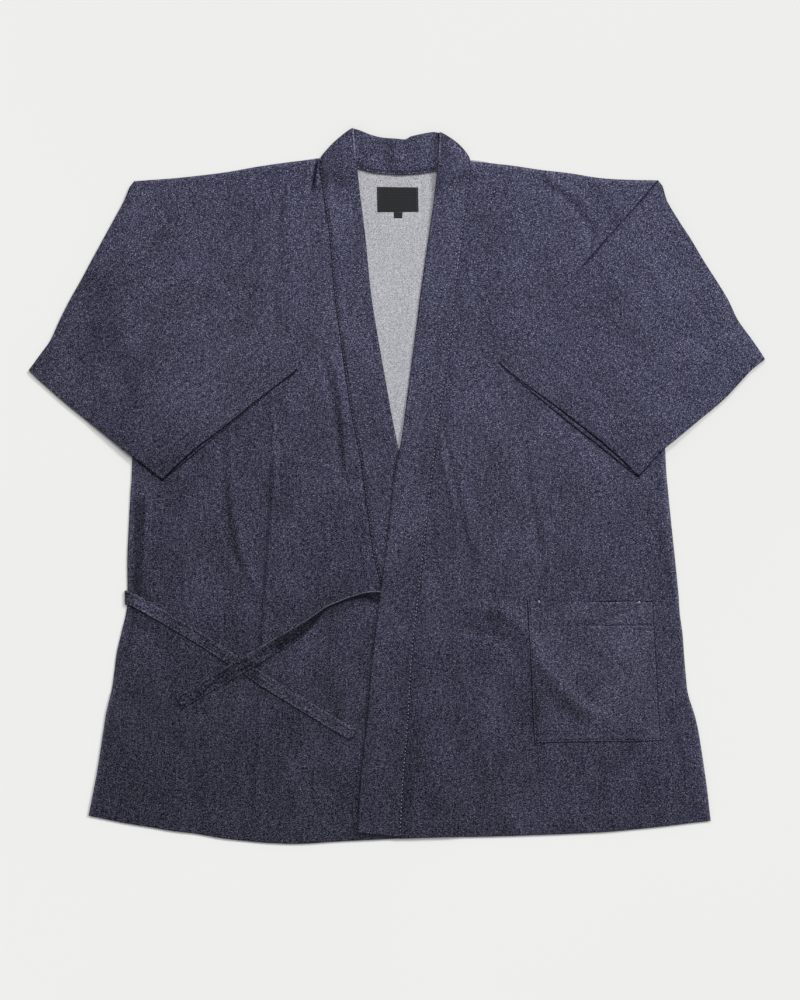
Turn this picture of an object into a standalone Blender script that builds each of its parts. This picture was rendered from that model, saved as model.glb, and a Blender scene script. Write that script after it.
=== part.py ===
"""A samue jacket of slub denim, laid flat with its fronts crossed and its sleeves swung down.

Each piece that a maker cuts is one closed solid. They lie on each other in the order in which the
jacket was laid: back, under front, collar band, over front, sleeves, pocket and ties. Each piece takes
its height from what lies under it. Lengths are millimetres until the last step. X is to the viewer's
right, Y towards the neck and Z up, and the origin is on the table under the middle of the outline.
Left and right are the wearer's, so the right front is on the viewer's left.
"""

import math
from collections import namedtuple

import bmesh
import bpy
from mathutils import Vector
from mathutils.bvhtree import BVHTree

MM = 0.001

# Cloth and sewing sizes
CLOTH = 1.0
GAP = 0.3
BAND_THICK = 2.0
TIE_THICK = 1.5
TIE_WIDTH = 17.0
TIE_BEND = 0.8
HEM_INSET = 3.0
FOLD_OVER = CLOTH + GAP
VENT_TOP = -235.0
ARMHOLE_LOW = 32.0
CORNER_RISE = 8.0
CORNER_LIFT = 3.0

# How cloth bridges what it lies on: level for the reach, then falling by the slope
SLOPE = 0.08
PANEL_REACH = 22.0
BAND_REACH = 18.0
STRIP_REACH = 12.0
FALL_STEPS = (0.0, 0.5, 1.0, 1.3, 1.7, 2.2)
DIRECTIONS = 12
DOWN = Vector((0, 0, -1))

Spot = namedtuple("Spot", "x y")
Run = namedtuple("Run", "y seam free")
Crease = namedtuple("Crease", "x0 y0 x1 y1 rise half_width")
Section = namedtuple("Section", "x y tilt lift")
Sleeve = namedtuple("Sleeve", "shoulder hem_fold cuff_top cuff_low underarm")

# The side edges, from the shoulder to the hem
RIGHT_SIDE = [
    Spot(-299, 347), Spot(-300, 211), Spot(-302, 32), Spot(-305, -17), Spot(-308, -85),
    Spot(-309, -136), Spot(-318, -188), Spot(-327, -239), Spot(-340, -307), Spot(-351, -376),
]
LEFT_SIDE = [
    Spot(297, 348), Spot(300, 211), Spot(304, 38), Spot(309, -17), Spot(316, -85),
    Spot(320, -136), Spot(325, -188), Spot(331, -239), Spot(341, -273), Spot(347, -307), Spot(357, -382),
]

# The hem, from the viewer's left to right
HEM = [
    Spot(-351, -376), Spot(-299, -387), Spot(-247, -395), Spot(-196, -402), Spot(-145, -407),
    Spot(-110, -408), Spot(-59, -405), Spot(5, -402), Spot(95, -400), Spot(163, -398),
    Spot(232, -395), Spot(283, -390), Spot(357, -382),
]

# The shoulder folds, from the arm to the neck
RIGHT_SHOULDER = [
    Spot(-299, 347), Spot(-247, 351), Spot(-196, 357), Spot(-162, 363), Spot(-128, 368), Spot(-88, 373),
]
LEFT_SHOULDER = [
    Spot(297, 348), Spot(266, 348), Spot(232, 351), Spot(197, 356), Spot(163, 360),
    Spot(129, 365), Spot(84, 370),
]

# The back neck seam and the top edge of the collar behind it, paired
NECK_SEAM = [
    Spot(-88, 371), Spot(-65, 365), Spot(-45, 361), Spot(-25, 356), Spot(1, 354),
    Spot(24, 355), Spot(47, 359), Spot(66, 364), Spot(84, 369),
]
COLLAR_TOP = [
    Spot(-51, 408), Spot(-45, 407), Spot(-38, 404), Spot(-25, 400), Spot(-2, 395),
    Spot(14, 395), Spot(28, 400), Spot(38, 403), Spot(49, 403),
]

# The collar band down each front: where it is sewn on, and its free edge
UNDER_RUN = [
    Run(360, -88, -45), Run(332, -84, -42), Run(284, -77, -36), Run(223, -72, -30),
    Run(177, -66, -23), Run(126, -59, -14), Run(75, -51, -5), Run(30, -42, 4), Run(-28, -34, 14),
    Run(-79, -27, 18), Run(-119, -18, 23), Run(-196, -10, 34), Run(-265, -7, 40),
    Run(-339, -1, 48), Run(-399, 2, 53),
]
OVER_RUN = [
    Run(360, 84, 47), Run(325, 80, 42), Run(284, 75, 36), Run(221, 67, 27), Run(189, 65, 23),
    Run(143, 59, 17), Run(97, 52, 11), Run(52, 46, 5), Run(19, 42, -2), Run(-21, 37, -7),
    Run(-69, 32, -12), Run(-131, 25, -20), Run(-196, 18, -28), Run(-265, 14, -34),
    Run(-339, 8, -42), Run(-402, 5, -45),
]

# The sleeves as laid
RIGHT_SLEEVE = Sleeve(Spot(-299, 347), Spot(-391, 167), Spot(-420, 131), Spot(-266, 5), Spot(-113, 132))
LEFT_SLEEVE = Sleeve(Spot(297, 348), Spot(391, 185), Spot(420, 144), Spot(275, 9), Spot(115, 139))
SLEEVE_AIR = 1.2
SLEEVE_STATIONS = 16
SLEEVE_ACROSS = (0.08, 0.18, 0.3, 0.42, 0.54, 0.66, 0.78, 0.9)
ARMHOLE_TUCK = 0.85

# The largest folds that show in each front
RIGHT_CREASES = [
    Crease(-139, 105, -142, 6, 1.4, 20), Crease(-142, 6, -147, -62, 1.6, 20),
    Crease(-147, -62, -158, -245, 1.4, 20), Crease(-158, -245, -167, -393, 1.2, 20),
    Crease(-195, 40, -195, -3, 1.0, 18), Crease(-195, -3, -174, -107, 1.4, 18),
    Crease(-281, -10, -287, -176, 1.2, 16),
]
LEFT_CREASES = [
    Crease(152, 23, 155, -43, 1.4, 20), Crease(155, -43, 172, -126, 1.4, 20),
    Crease(172, -126, 165, -294, 0.8, 20), Crease(165, -294, 170, -356, 1.2, 20),
    Crease(75, -140, 152, -186, 1.2, 22), Crease(152, -186, 188, -243, 1.0, 22),
    Crease(188, -243, 235, -276, 1.0, 22),
]

# What is sewn on the panels
POCKET = [Spot(148, -131), Spot(292, -131), Spot(301, -292), Spot(156, -294)]
LABEL = [Spot(-23, 340), Spot(24, 340), Spot(24, 312), Spot(-23, 312)]
SIZE_TAB = [Spot(-4, 311.7), Spot(6, 311.7), Spot(6, 305), Spot(-4, 305)]

# The ties along their middle lines: tilt is the strip's turn on edge, lift its height above its bed
SIDE_TIE_ROOT = (-121.0, -137.5)
SIDE_TIE = [
    Section(-296, -132, 0, 0.0), Section(-275, -140, 0, 0.0), Section(-244, -160, 0, 0.0),
    Section(-187, -198, 0, 0.0), Section(-110, -246, 0, 0.0), Section(-49, -285, 0, 0.0),
]
FRONT_TIE = [
    Section(-21.5, -127, 6, 0.2), Section(-34, -126, 34, 0.3), Section(-50, -129, 50, 0.3),
    Section(-74, -139, 52, 0.3), Section(-104, -159, 36, 0.3), Section(-132, -179, 8, 0.3),
    Section(-158, -194, 0, 0.3), Section(-200, -217, 0, 0.0), Section(-249, -246, 0, 0.0),
]

DENIM = (0.036, 0.043, 0.056)
DENIM_WRONG_SIDE = (0.45, 0.47, 0.50)
RIBBON = (0.010, 0.010, 0.012)


def start_collection(name):
    """Clears the scene and gives a new collection for the jacket."""
    for old in list(bpy.data.objects):
        bpy.data.objects.remove(old, do_unlink=True)
    collection = bpy.data.collections.new(name)
    bpy.context.scene.collection.children.link(collection)
    return collection


def cloth_material(name, colour, roughness):
    material = bpy.data.materials.new(name)
    material.use_nodes = True
    shader = material.node_tree.nodes["Principled BSDF"]
    shader.inputs["Base Color"].default_value = (*colour, 1.0)
    shader.inputs["Roughness"].default_value = roughness
    shader.inputs["Metallic"].default_value = 0.0
    return material


def add_object(name, bm, material):
    """Turns a bmesh in millimetres into an object in metres."""
    bmesh.ops.scale(bm, vec=(MM, MM, MM), verts=bm.verts)
    mesh = bpy.data.meshes.new(name)
    bm.to_mesh(mesh)
    bm.free()
    mesh.materials.append(material)
    piece = bpy.data.objects.new(name, mesh)
    JACKET.objects.link(piece)
    return piece


def thicken(piece):
    """Gives an open sheet its wall, grown along its faces' normals."""
    wall = piece.modifiers.new("wall", "SOLIDIFY")
    wall.thickness = CLOTH * MM
    wall.offset = 1.0
    wall.use_even_offset = True


def piece_bed(piece):
    """A search tree of a piece's faces after its modifiers, for what lies on it."""
    bpy.context.view_layer.update()
    return BVHTree.FromObject(piece, bpy.context.evaluated_depsgraph_get())


def rings_bed(rings):
    """The same for a run of rings that isn't an object yet."""
    bm = loft(rings)
    bmesh.ops.scale(bm, vec=(MM, MM, MM), verts=bm.verts)
    tree = BVHTree.FromBMesh(bm)
    bm.free()
    return tree


def height_over(x, y, beds, reach):
    """The lowest level for cloth at x, y that clears its beds: it bridges an edge, then falls off."""
    level = 0.0
    for step in FALL_STEPS:
        distance = reach * step
        drop = SLOPE * max(0.0, distance - reach)
        for turn in range(DIRECTIONS if distance else 1):
            angle = math.tau * turn / DIRECTIONS
            above = Vector((x + distance * math.cos(angle), y + distance * math.sin(angle), 100.0))
            for bed in beds:
                spot = bed.ray_cast(above * MM, DOWN)[0]
                if spot is not None:
                    level = max(level, spot.z / MM + GAP - drop)
    return level


def crease_rise(x, y, creases):
    """How far the creases lift the cloth at x, y: a soft ridge along each line."""
    rise = 0.0
    for fold in creases:
        along = Vector((fold.x1 - fold.x0, fold.y1 - fold.y0))
        offset = Vector((x - fold.x0, y - fold.y0))
        share = min(1.0, max(0.0, offset.dot(along) / along.length_squared))
        distance = (offset - along * share).length
        if distance < fold.half_width:
            rise = max(rise, fold.rise * 0.5 * (1 + math.cos(math.pi * distance / fold.half_width)))
    return rise


def line_at(points, share):
    """The point at a share of the length of a line through the points."""
    lengths = [math.dist(a, b) for a, b in zip(points, points[1:])]
    target = share * sum(lengths)
    for a, b, length in zip(points, points[1:], lengths):
        if target <= length:
            part = target / length
            return Vector((a[0] + (b[0] - a[0]) * part, a[1] + (b[1] - a[1]) * part))
        target -= length
    return Vector(points[-1][:2])


def shares_along(points):
    """Each point's share of the length of the line through them."""
    lengths = [math.dist(a, b) for a, b in zip(points, points[1:])]
    return [sum(lengths[:index]) / sum(lengths) for index in range(len(points))]


def rounded_line(points, spacing):
    """Points about a spacing apart on a smooth curve through rows of numbers."""
    ends = [points[0], *points, points[-1]]
    curve = []
    for before, a, b, after in zip(ends, ends[1:], ends[2:], ends[3:]):
        count = max(1, round(math.dist(a[:2], b[:2]) / spacing))
        for step in range(count):
            t = step / count
            curve.append([
                0.5 * (2 * p1 + (p2 - p0) * t + (2 * p0 - 5 * p1 + 4 * p2 - p3) * t * t
                       + (3 * p1 - p0 - 3 * p2 + p3) * t ** 3)
                for p0, p1, p2, p3 in zip(before, a, b, after)
            ])
    curve.append(list(points[-1]))
    return curve


def split_rows(rows, parts):
    """The rows of a run with others set evenly between them."""
    finer = []
    for upper, lower in zip(rows, rows[1:]):
        for step in range(parts):
            share = step / parts
            finer.append(Run(*(a + (b - a) * share for a, b in zip(upper, lower))))
    return [*finer, rows[-1]]


def hem_y(x):
    """How low the hem is at an x."""
    for a, b in zip(HEM, HEM[1:]):
        if x <= b.x:
            return a.y + (b.y - a.y) * (x - a.x) / (b.x - a.x)
    return HEM[-1].y


def hem_between(x_from, x_to):
    """The stretch of the hem from one x to another."""
    low, high = sorted((x_from, x_to))
    stretch = [Spot(low, hem_y(low)), *(spot for spot in HEM if low < spot.x < high)]
    stretch.append(Spot(high, hem_y(high)))
    return stretch if x_from < x_to else stretch[::-1]


def shifted(points, dx=0.0, dy=0.0):
    return [Spot(point[0] + dx, point[1] + dy) for point in points]


def patch(top, bottom, start, end, level):
    """A grid between four edge lines, each point at its level, with its column and row by vertex."""
    across, down = shares_along(top), shares_along(end)
    columns, rows = len(top) - 1, len(end) - 1
    bm = bmesh.new()
    bmesh.ops.create_grid(bm, x_segments=columns, y_segments=rows, size=0.5)
    cells = {}
    for vert in bm.verts:
        column = round((vert.co.x + 0.5) * columns)
        row = round((0.5 - vert.co.y) * rows)
        u, v = across[column], down[row]
        place = (Vector(top[column]) * (1 - v) + Vector(bottom[column]) * v
                 + Vector(start[row]) * (1 - u) + Vector(end[row]) * u
                 - (Vector(top[0]) * (1 - u) + Vector(top[-1]) * u) * (1 - v)
                 - (Vector(bottom[0]) * (1 - u) + Vector(bottom[-1]) * u) * v)
        vert.co = (place.x, place.y, level(place.x, place.y))
        cells[vert] = (column, row)
    bm.normal_update()
    if any(face.normal.z < 0 for face in bm.faces):
        bmesh.ops.reverse_faces(bm, faces=bm.faces)
    return bm, cells


def loft(rings):
    """A closed solid through rings of equal length, with flat ends."""
    bm = bmesh.new()
    rows = [[bm.verts.new(point) for point in ring] for ring in rings]
    for lower, upper in zip(rows, rows[1:]):
        for index in range(len(lower)):
            following = (index + 1) % len(lower)
            bm.faces.new((lower[index], lower[following], upper[following], upper[index]))
    bm.faces.new(rows[0][::-1])
    bm.faces.new(rows[-1])
    bmesh.ops.triangulate(bm, faces=bm.faces)
    bmesh.ops.recalc_face_normals(bm, faces=bm.faces)
    return bm


def tube_wall(outer, inner):
    """An open tube's wall, through outer and inner rings of equal length."""
    bm = bmesh.new()
    skins = [[[bm.verts.new(point) for point in ring] for ring in rings] for rings in (outer, inner)]
    size = len(outer[0])
    for index in range(size):
        following = (index + 1) % size
        for rows in skins:
            for lower, upper in zip(rows, rows[1:]):
                bm.faces.new((lower[index], lower[following], upper[following], upper[index]))
        for end in (0, -1):
            bm.faces.new((
                skins[0][end][index], skins[0][end][following],
                skins[1][end][following], skins[1][end][index],
            ))
    bmesh.ops.triangulate(bm, faces=bm.faces)
    bmesh.ops.recalc_face_normals(bm, faces=bm.faces)
    return bm


def make_back():
    """The back panel, flat on the table and a little inside the fronts' folded edges."""
    def inset_side(points, toward_middle):
        return [
            Spot(spot.x + toward_middle * (FOLD_OVER if spot.y > VENT_TOP else HEM_INSET), spot.y)
            for spot in points[1:-1]
        ]

    right_side = inset_side(RIGHT_SIDE, 1)
    left_side = inset_side(LEFT_SIDE, -1)
    drop = -FOLD_OVER - GAP
    hem_ends = RIGHT_SIDE[-1].x + 2 * HEM_INSET, LEFT_SIDE[-1].x - 2 * HEM_INSET
    hem = shifted(hem_between(*hem_ends), dy=HEM_INSET)
    outline = [Spot(RIGHT_SIDE[0].x + FOLD_OVER, RIGHT_SIDE[0].y + drop)]
    outline += shifted(RIGHT_SHOULDER[1:-1], dy=drop)
    outline.append(Spot(NECK_SEAM[0].x - GAP, NECK_SEAM[0].y + drop))
    outline += shifted(NECK_SEAM[1:-1], dy=-GAP)
    outline.append(Spot(NECK_SEAM[-1].x + GAP, NECK_SEAM[-1].y + drop))
    outline += shifted(LEFT_SHOULDER[-2:0:-1], dy=drop)
    outline.append(Spot(LEFT_SIDE[0].x - FOLD_OVER, LEFT_SIDE[0].y + drop))
    outline += left_side + hem[::-1] + right_side[::-1]
    bm = bmesh.new()
    face = bm.faces.new([bm.verts.new((spot.x, spot.y, 0.0)) for spot in outline])
    face.normal_update()
    if face.normal.z < 0:
        face.normal_flip()
    bmesh.ops.triangulate(bm, faces=bm.faces)
    back = add_object("back", bm, WRONG_SIDE)
    thicken(back)
    return back


def front_panel(name, side, shoulder, run, creases, columns, beds):
    """A front, folded over the shoulder and the side seam, and open at the armhole, vent and hem."""
    outward = math.copysign(1.0, side[0].x)
    seam_x = [row.seam + outward * GAP for row in run]
    corner = Spot(side[0].x - outward * CLOTH, side[0].y - CLOTH)
    shoulder_line = [corner, *shifted(shoulder[1:-1], dy=-CLOTH), Spot(seam_x[0], shoulder[-1].y - CLOTH)]
    hem_line = hem_between(side[-1].x, seam_x[-1])
    side_line = [corner]
    for spot in side[1:-1]:
        side_line.append(Spot(spot.x - outward * (CLOTH if spot.y > VENT_TOP else 0.0), spot.y))
    side_line.append(hem_line[0])
    seam = [Vector(shoulder_line[-1]), *(Vector((x, row.y)) for x, row in zip(seam_x, run))][:-1]
    seam.append(Vector(hem_line[-1]))

    def level(x, y):
        return height_over(x, y, beds, PANEL_REACH) + crease_rise(x, y, creases)

    top = [line_at(shoulder_line, share) for share in columns]
    bottom = [line_at(hem_line, share) for share in columns]
    start = [line_at(side_line, share) for share in shares_along(seam)]
    bm, cells = patch(top, bottom, start, seam, level)
    folded = []
    for edge in bm.edges:
        ends = [(*cells[vert], vert.co.y) for vert in edge.verts]
        on_shoulder = all(row == 0 for column, row, y in ends)
        on_side = all(column == 0 and VENT_TOP < y < ARMHOLE_LOW for column, row, y in ends)
        if on_shoulder or on_side:
            folded.append(edge)
    turned = bmesh.ops.extrude_edge_only(bm, edges=folded)
    for vert in turned["geom"]:
        if isinstance(vert, bmesh.types.BMVert):
            vert.co.z = 0.0
    bmesh.ops.recalc_face_normals(bm, faces=bm.faces)
    if max(bm.faces, key=lambda face: abs(face.normal.z)).normal.z < 0:
        bmesh.ops.reverse_faces(bm, faces=bm.faces)
    panel = add_object(name, bm, DENIM_SIDE)
    thicken(panel)
    return panel


def band_ring(seam, free, low_seam, low_free, outer_up=True):
    """A section across the collar band: its wrong side from seam to free edge, then its right side."""
    shares = (0.0, 1 / 3, 2 / 3, 1.0)
    across = [(Vector(seam).lerp(Vector(free), share), low_seam + (low_free - low_seam) * share)
              for share in shares]
    low = [(place.x, place.y, level) for place, level in across]
    high = [(place.x, place.y, level + BAND_THICK) for place, level in across]
    return [*low, *high[::-1]] if outer_up else [*high, *low[::-1]]


def front_run_rings(run, beds, corner_turned_up=False):
    """The band down one front, from the neck to the hem, lying on its beds."""
    rings = []
    for index, row in enumerate(run):
        share = {1: 1.0, 2: 0.35}.get(len(run) - index, 0.0) if corner_turned_up else 0.0
        ends = (row.seam, row.y), (row.free, row.y + CORNER_RISE * share)
        levels = [height_over(x, y, beds, BAND_REACH) for x, y in ends]
        levels[1] += CORNER_LIFT * share
        rings.append(band_ring(*ends, *levels))
    return rings


def fold_rings(seam, free, outward):
    """The band turned over along a slant at the shoulder, from its upper layer to its lower one."""
    turn_radius = BAND_THICK + GAP / 2
    outward = Vector(outward).normalized()
    seam = Vector(seam) - outward * turn_radius
    free = Vector(free) - outward * turn_radius
    rings = []
    for angle in (math.pi / 2, math.pi / 4, 0.0, -math.pi / 4, -math.pi / 2):
        ring = []
        for radius, shares in ((GAP / 2, (0.0, 1 / 3, 2 / 3, 1.0)), (turn_radius, (1.0, 2 / 3, 1 / 3, 0.0))):
            for share in shares:
                place = seam.lerp(free, share) + outward * radius * math.cos(angle)
                ring.append((place.x, place.y, turn_radius + radius * math.sin(angle)))
        rings.append(ring)
    return rings


def strip_rings(sections, beds):
    """A narrow strip along its middle line, tilted on edge where the table says so."""
    rings = []
    for index, (x, y, tilt, lift) in enumerate(sections):
        before, after = sections[max(0, index - 1)], sections[min(len(sections) - 1, index + 1)]
        run = Vector((after[0] - before[0], after[1] - before[1])).normalized()
        upward_side = Vector((-run.y, run.x)) if run.x > 0 else Vector((run.y, -run.x))
        lean = math.radians(tilt)
        low = Vector((x, y)) - upward_side * TIE_WIDTH / 2 * math.cos(lean)
        level = height_over(x, y, beds, STRIP_REACH) + lift
        start = Vector((low.x, low.y, level))
        width = Vector((*(upward_side * math.cos(lean)), math.sin(lean))) * TIE_WIDTH
        wall = Vector((*(-upward_side * math.sin(lean)), math.cos(lean))) * TIE_THICK
        rings.append([start, start + width, start + width + wall, start + wall])
    return rings


def hanging_rings(root, beds):
    """The side tie's root: up the outside of the side seam, then over the edge onto the front."""
    outside = Vector((RIGHT_SIDE[-1].x, 0.0, CLOTH)) * MM
    reached = [beds[0].ray_cast(outside + Vector((0, y * MM, 0)), Vector((1, 0, 0)))[0] for y in root]
    edge = [Spot(min(spot.x for spot in reached) / MM, y) for y in root]
    over = max(height_over(spot.x, spot.y, beds, STRIP_REACH) for spot in edge)
    steps = [
        (-GAP, GAP, -GAP - TIE_THICK, GAP),
        (-GAP, over - GAP, -GAP - TIE_THICK, over - GAP),
        (0.0, over, -TIE_BEND * TIE_THICK, over + TIE_BEND * TIE_THICK),
    ]
    rings = []
    for inner_x, inner_z, outer_x, outer_z in steps:
        inner = [(spot.x + inner_x, spot.y, inner_z) for spot in edge[::-1]]
        outer = [(spot.x + outer_x, spot.y, outer_z) for spot in edge]
        rings.append(inner + outer)
    return rings


def ring_stops(width, half, set_in):
    """How far across a flat sleeve each point of a ring lies, and how full the sleeve is there."""
    fold = [(set_in, 0.0), (set_in + 0.3 * half, 0.7), (set_in + half, 1.0)]
    middle = [(width * share, 1.0) for share in SLEEVE_ACROSS]
    return [*fold, *middle, *((width - distance, fullness) for distance, fullness in fold[::-1])]


def sleeve_ring(edges, beds, outer):
    """A ring round a flat sleeve, on its wall's outer or inner face: over the top, then back under it."""
    upper, lower = edges
    half = SLEEVE_AIR / 2 + (CLOTH if outer else 0.0)
    stops = ring_stops((lower - upper).length, half, 0.0 if outer else CLOTH)
    ring = []
    for layer, stretch in ((1, stops), (-1, stops[-2:0:-1])):
        for distance, fullness in stretch:
            place = upper + (lower - upper).normalized() * distance
            middle = height_over(*place, beds, PANEL_REACH) + CLOTH + SLEEVE_AIR / 2
            ring.append((*place, middle + layer * half * fullness))
    return ring


def armhole_ring(seam, following, beds, outer):
    """The ring at the armhole: the upper layer lies on the front, and the lower ends short under it."""
    upper, lower = seam
    width = (lower - upper).length
    stops = ring_stops(width, CLOTH / 2, 0.0 if outer else CLOTH)
    ring = []
    for layer, stretch in ((1, stops), (-1, stops[-2:0:-1])):
        for distance, fullness in stretch:
            share = distance / width
            tuck = ARMHOLE_TUCK * {1: 0.0, -1: 1.0}[layer] if fullness else ARMHOLE_TUCK / 2
            place = upper.lerp(lower, share).lerp(following[0].lerp(following[1], share), tuck)
            facing = layer if outer else -layer
            level = CLOTH / 2 * (1 + (facing if fullness else 0))
            ring.append((*place, height_over(*place, beds, PANEL_REACH) + level))
    return ring


def make_sleeve(name, cut, beds):
    """A sleeve as a flat tube: closed along its top fold and underarm, open at cuff and armhole."""
    fold_line = [cut.shoulder, cut.hem_fold, cut.cuff_top]
    underarm_line = [cut.underarm, cut.cuff_low]
    corner_share = shares_along(fold_line)[1]
    shares = sorted({*(step / SLEEVE_STATIONS for step in range(SLEEVE_STATIONS + 1)), corner_share})
    shares = [share for share in shares
              if share == corner_share or abs(share - corner_share) > 0.3 / SLEEVE_STATIONS]
    edges = [(line_at(fold_line, share), line_at(underarm_line, share)) for share in shares]
    skins = [
        [
            armhole_ring(edges[0], edges[1], beds, outer),
            *(sleeve_ring(pair, beds, outer) for pair in edges[1:]),
        ]
        for outer in (True, False)
    ]
    return add_object(name, tube_wall(*skins), DENIM_SIDE)


def sewn_patch(name, corners, cells, beds, material):
    """A flat piece sewn on a panel, laid on the panel's own points."""
    shares = [step / cells for step in range(cells + 1)]
    lines = []
    for first, last in ((0, 1), (3, 2), (0, 3), (1, 2)):
        lines.append([line_at([corners[first], corners[last]], share) for share in shares])
    reach = math.dist(corners[0], corners[1]) / cells
    bm, _ = patch(*lines, lambda x, y: height_over(x, y, beds, reach))
    piece = add_object(name, bm, material)
    thicken(piece)
    return piece


JACKET = start_collection("samue_jacket")
DENIM_SIDE = cloth_material("denim", DENIM, 0.85)
WRONG_SIDE = cloth_material("denim_wrong_side", DENIM_WRONG_SIDE, 0.9)
LABEL_RIBBON = cloth_material("woven_ribbon", RIBBON, 0.6)

BACK = make_back()
BACK_BED = piece_bed(BACK)

# The collar behind the neck lies on the table with its wrong side up
RIGHT_FOLD = fold_rings(NECK_SEAM[0], COLLAR_TOP[0], (-34, 37))
LEFT_FOLD = fold_rings(NECK_SEAM[-1], COLLAR_TOP[-1], (33, 36))
NECK_RINGS = [
    band_ring(seam, free, 0.0, 0.0, outer_up=False)
    for seam, free in zip(NECK_SEAM[1:-1], COLLAR_TOP[1:-1])
]
NECK_BED = rings_bed([RIGHT_FOLD[-1], *NECK_RINGS, LEFT_FOLD[-1]])

UNDER_ROWS = split_rows(UNDER_RUN, 2)
UNDER_RINGS = front_run_rings(UNDER_ROWS, [BACK_BED, NECK_BED])
UNDER_BED = rings_bed(UNDER_RINGS)
RIGHT_COLUMNS = [0.0, 0.03, 0.08, 0.15, 0.22, 0.29, 0.36, 0.43, 0.5, 0.57, 0.65, 0.73, 0.82, 0.91, 1.0]
RIGHT_FRONT = front_panel(
    "right_front", RIGHT_SIDE, RIGHT_SHOULDER, UNDER_ROWS, RIGHT_CREASES, RIGHT_COLUMNS,
    [BACK_BED, NECK_BED],
)
RIGHT_BED = piece_bed(RIGHT_FRONT)

OVER_ROWS = split_rows(OVER_RUN, 2)
OVER_BEDS = [BACK_BED, NECK_BED, UNDER_BED, RIGHT_BED]
OVER_RINGS = front_run_rings(OVER_ROWS, OVER_BEDS, corner_turned_up=True)
LEFT_COLUMNS = [0.0, 0.05, 0.13, 0.21, 0.29, 0.37, 0.45, 0.53, 0.6, 0.67, 0.73, 0.79, 0.84, 0.89, 0.94, 1.0]
LEFT_FRONT = front_panel(
    "left_front", LEFT_SIDE, LEFT_SHOULDER, OVER_ROWS, LEFT_CREASES, LEFT_COLUMNS, OVER_BEDS
)
LEFT_BED = piece_bed(LEFT_FRONT)

COLLAR_RINGS = [*UNDER_RINGS[::-1], *RIGHT_FOLD, *NECK_RINGS, *LEFT_FOLD[::-1], *OVER_RINGS]
COLLAR = add_object("collar", loft(COLLAR_RINGS), DENIM_SIDE)

make_sleeve("right_sleeve", RIGHT_SLEEVE, [BACK_BED, RIGHT_BED])
make_sleeve("left_sleeve", LEFT_SLEEVE, [BACK_BED, LEFT_BED])

sewn_patch("pocket", POCKET, 8, [LEFT_BED], DENIM_SIDE)
sewn_patch("neck_label", LABEL, 1, [BACK_BED], LABEL_RIBBON)
sewn_patch("size_tab", SIZE_TAB, 1, [BACK_BED], LABEL_RIBBON)

# The side tie hangs over the side seam; the front tie crosses over it
SIDE_TIE_BODY = [
    *hanging_rings(SIDE_TIE_ROOT, [RIGHT_BED]),
    *strip_rings(rounded_line(SIDE_TIE, 10), [RIGHT_BED]),
]
SIDE_TIE_BED = rings_bed(SIDE_TIE_BODY)
add_object("side_tie", loft(SIDE_TIE_BODY), DENIM_SIDE)
FRONT_TIE_RINGS = strip_rings(rounded_line(FRONT_TIE, 9), [RIGHT_BED, UNDER_BED, SIDE_TIE_BED])
add_object("front_tie", loft(FRONT_TIE_RINGS), DENIM_SIDE)
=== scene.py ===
"""A samue jacket of slub denim, laid flat on a pale table and seen from straight above.

The pieces are laid in the order in which the real jacket lies: back, under front, collar band, over
front, sleeves, pocket, label and ties. Each takes its height from the pile below it. Sizes are in
millimetres until a mesh is made. Left and right are the wearer's.
"""

import math

import bpy
import numpy as np
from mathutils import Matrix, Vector


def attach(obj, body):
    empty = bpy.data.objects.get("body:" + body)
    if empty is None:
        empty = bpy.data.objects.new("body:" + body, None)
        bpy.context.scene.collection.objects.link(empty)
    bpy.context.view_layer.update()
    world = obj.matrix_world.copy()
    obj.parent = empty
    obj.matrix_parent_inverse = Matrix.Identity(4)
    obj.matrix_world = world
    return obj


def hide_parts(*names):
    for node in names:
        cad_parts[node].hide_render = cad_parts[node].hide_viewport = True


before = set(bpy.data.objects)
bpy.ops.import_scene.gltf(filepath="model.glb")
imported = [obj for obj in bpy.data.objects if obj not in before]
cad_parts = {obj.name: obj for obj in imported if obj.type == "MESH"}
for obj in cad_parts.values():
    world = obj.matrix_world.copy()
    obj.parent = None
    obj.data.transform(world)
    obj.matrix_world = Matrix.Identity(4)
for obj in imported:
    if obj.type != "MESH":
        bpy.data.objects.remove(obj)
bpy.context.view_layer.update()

MM = 0.001

# The table: a matt white board, far wider than the view. It gives the eye a flat, shadow-catching
# ground that is nearly as light as paper.
TABLE_HALF_WIDTH = 30.0
TABLE_BELOW = 0.0004


def linear(hex_colour):
    """An sRGB hex colour as linear values."""
    values = [int(hex_colour[start:start + 2], 16) / 255 for start in (1, 3, 5)]
    return (*(v / 12.92 if v <= 0.04045 else ((v + 0.055) / 1.055) ** 2.4 for v in values), 1.0)


def add_node(tree, kind, settings=None, links=None, stops=None):
    """Adds a shader node with its settings, its links and, on a ramp, its colour stops."""
    node = tree.nodes.new(kind)
    for name, value in (settings or {}).items():
        if isinstance(name, int) or name in node.inputs:
            node.inputs[name].default_value = value
        else:
            setattr(node, name, value)
    for name, source in (links or {}).items():
        tree.links.new(source, node.inputs[name])
    if stops:
        while len(node.color_ramp.elements) < len(stops):
            node.color_ramp.elements.new(0.5)
        for element, (position, colour) in zip(node.color_ramp.elements, stops):
            element.position = position
            element.color = colour
    return node


def new_material(name):
    """An empty material with its output, ready for nodes."""
    material = bpy.data.materials.new(name)
    material.use_nodes = True
    material.node_tree.nodes.clear()
    return material, add_node(material.node_tree, "ShaderNodeOutputMaterial")


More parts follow.
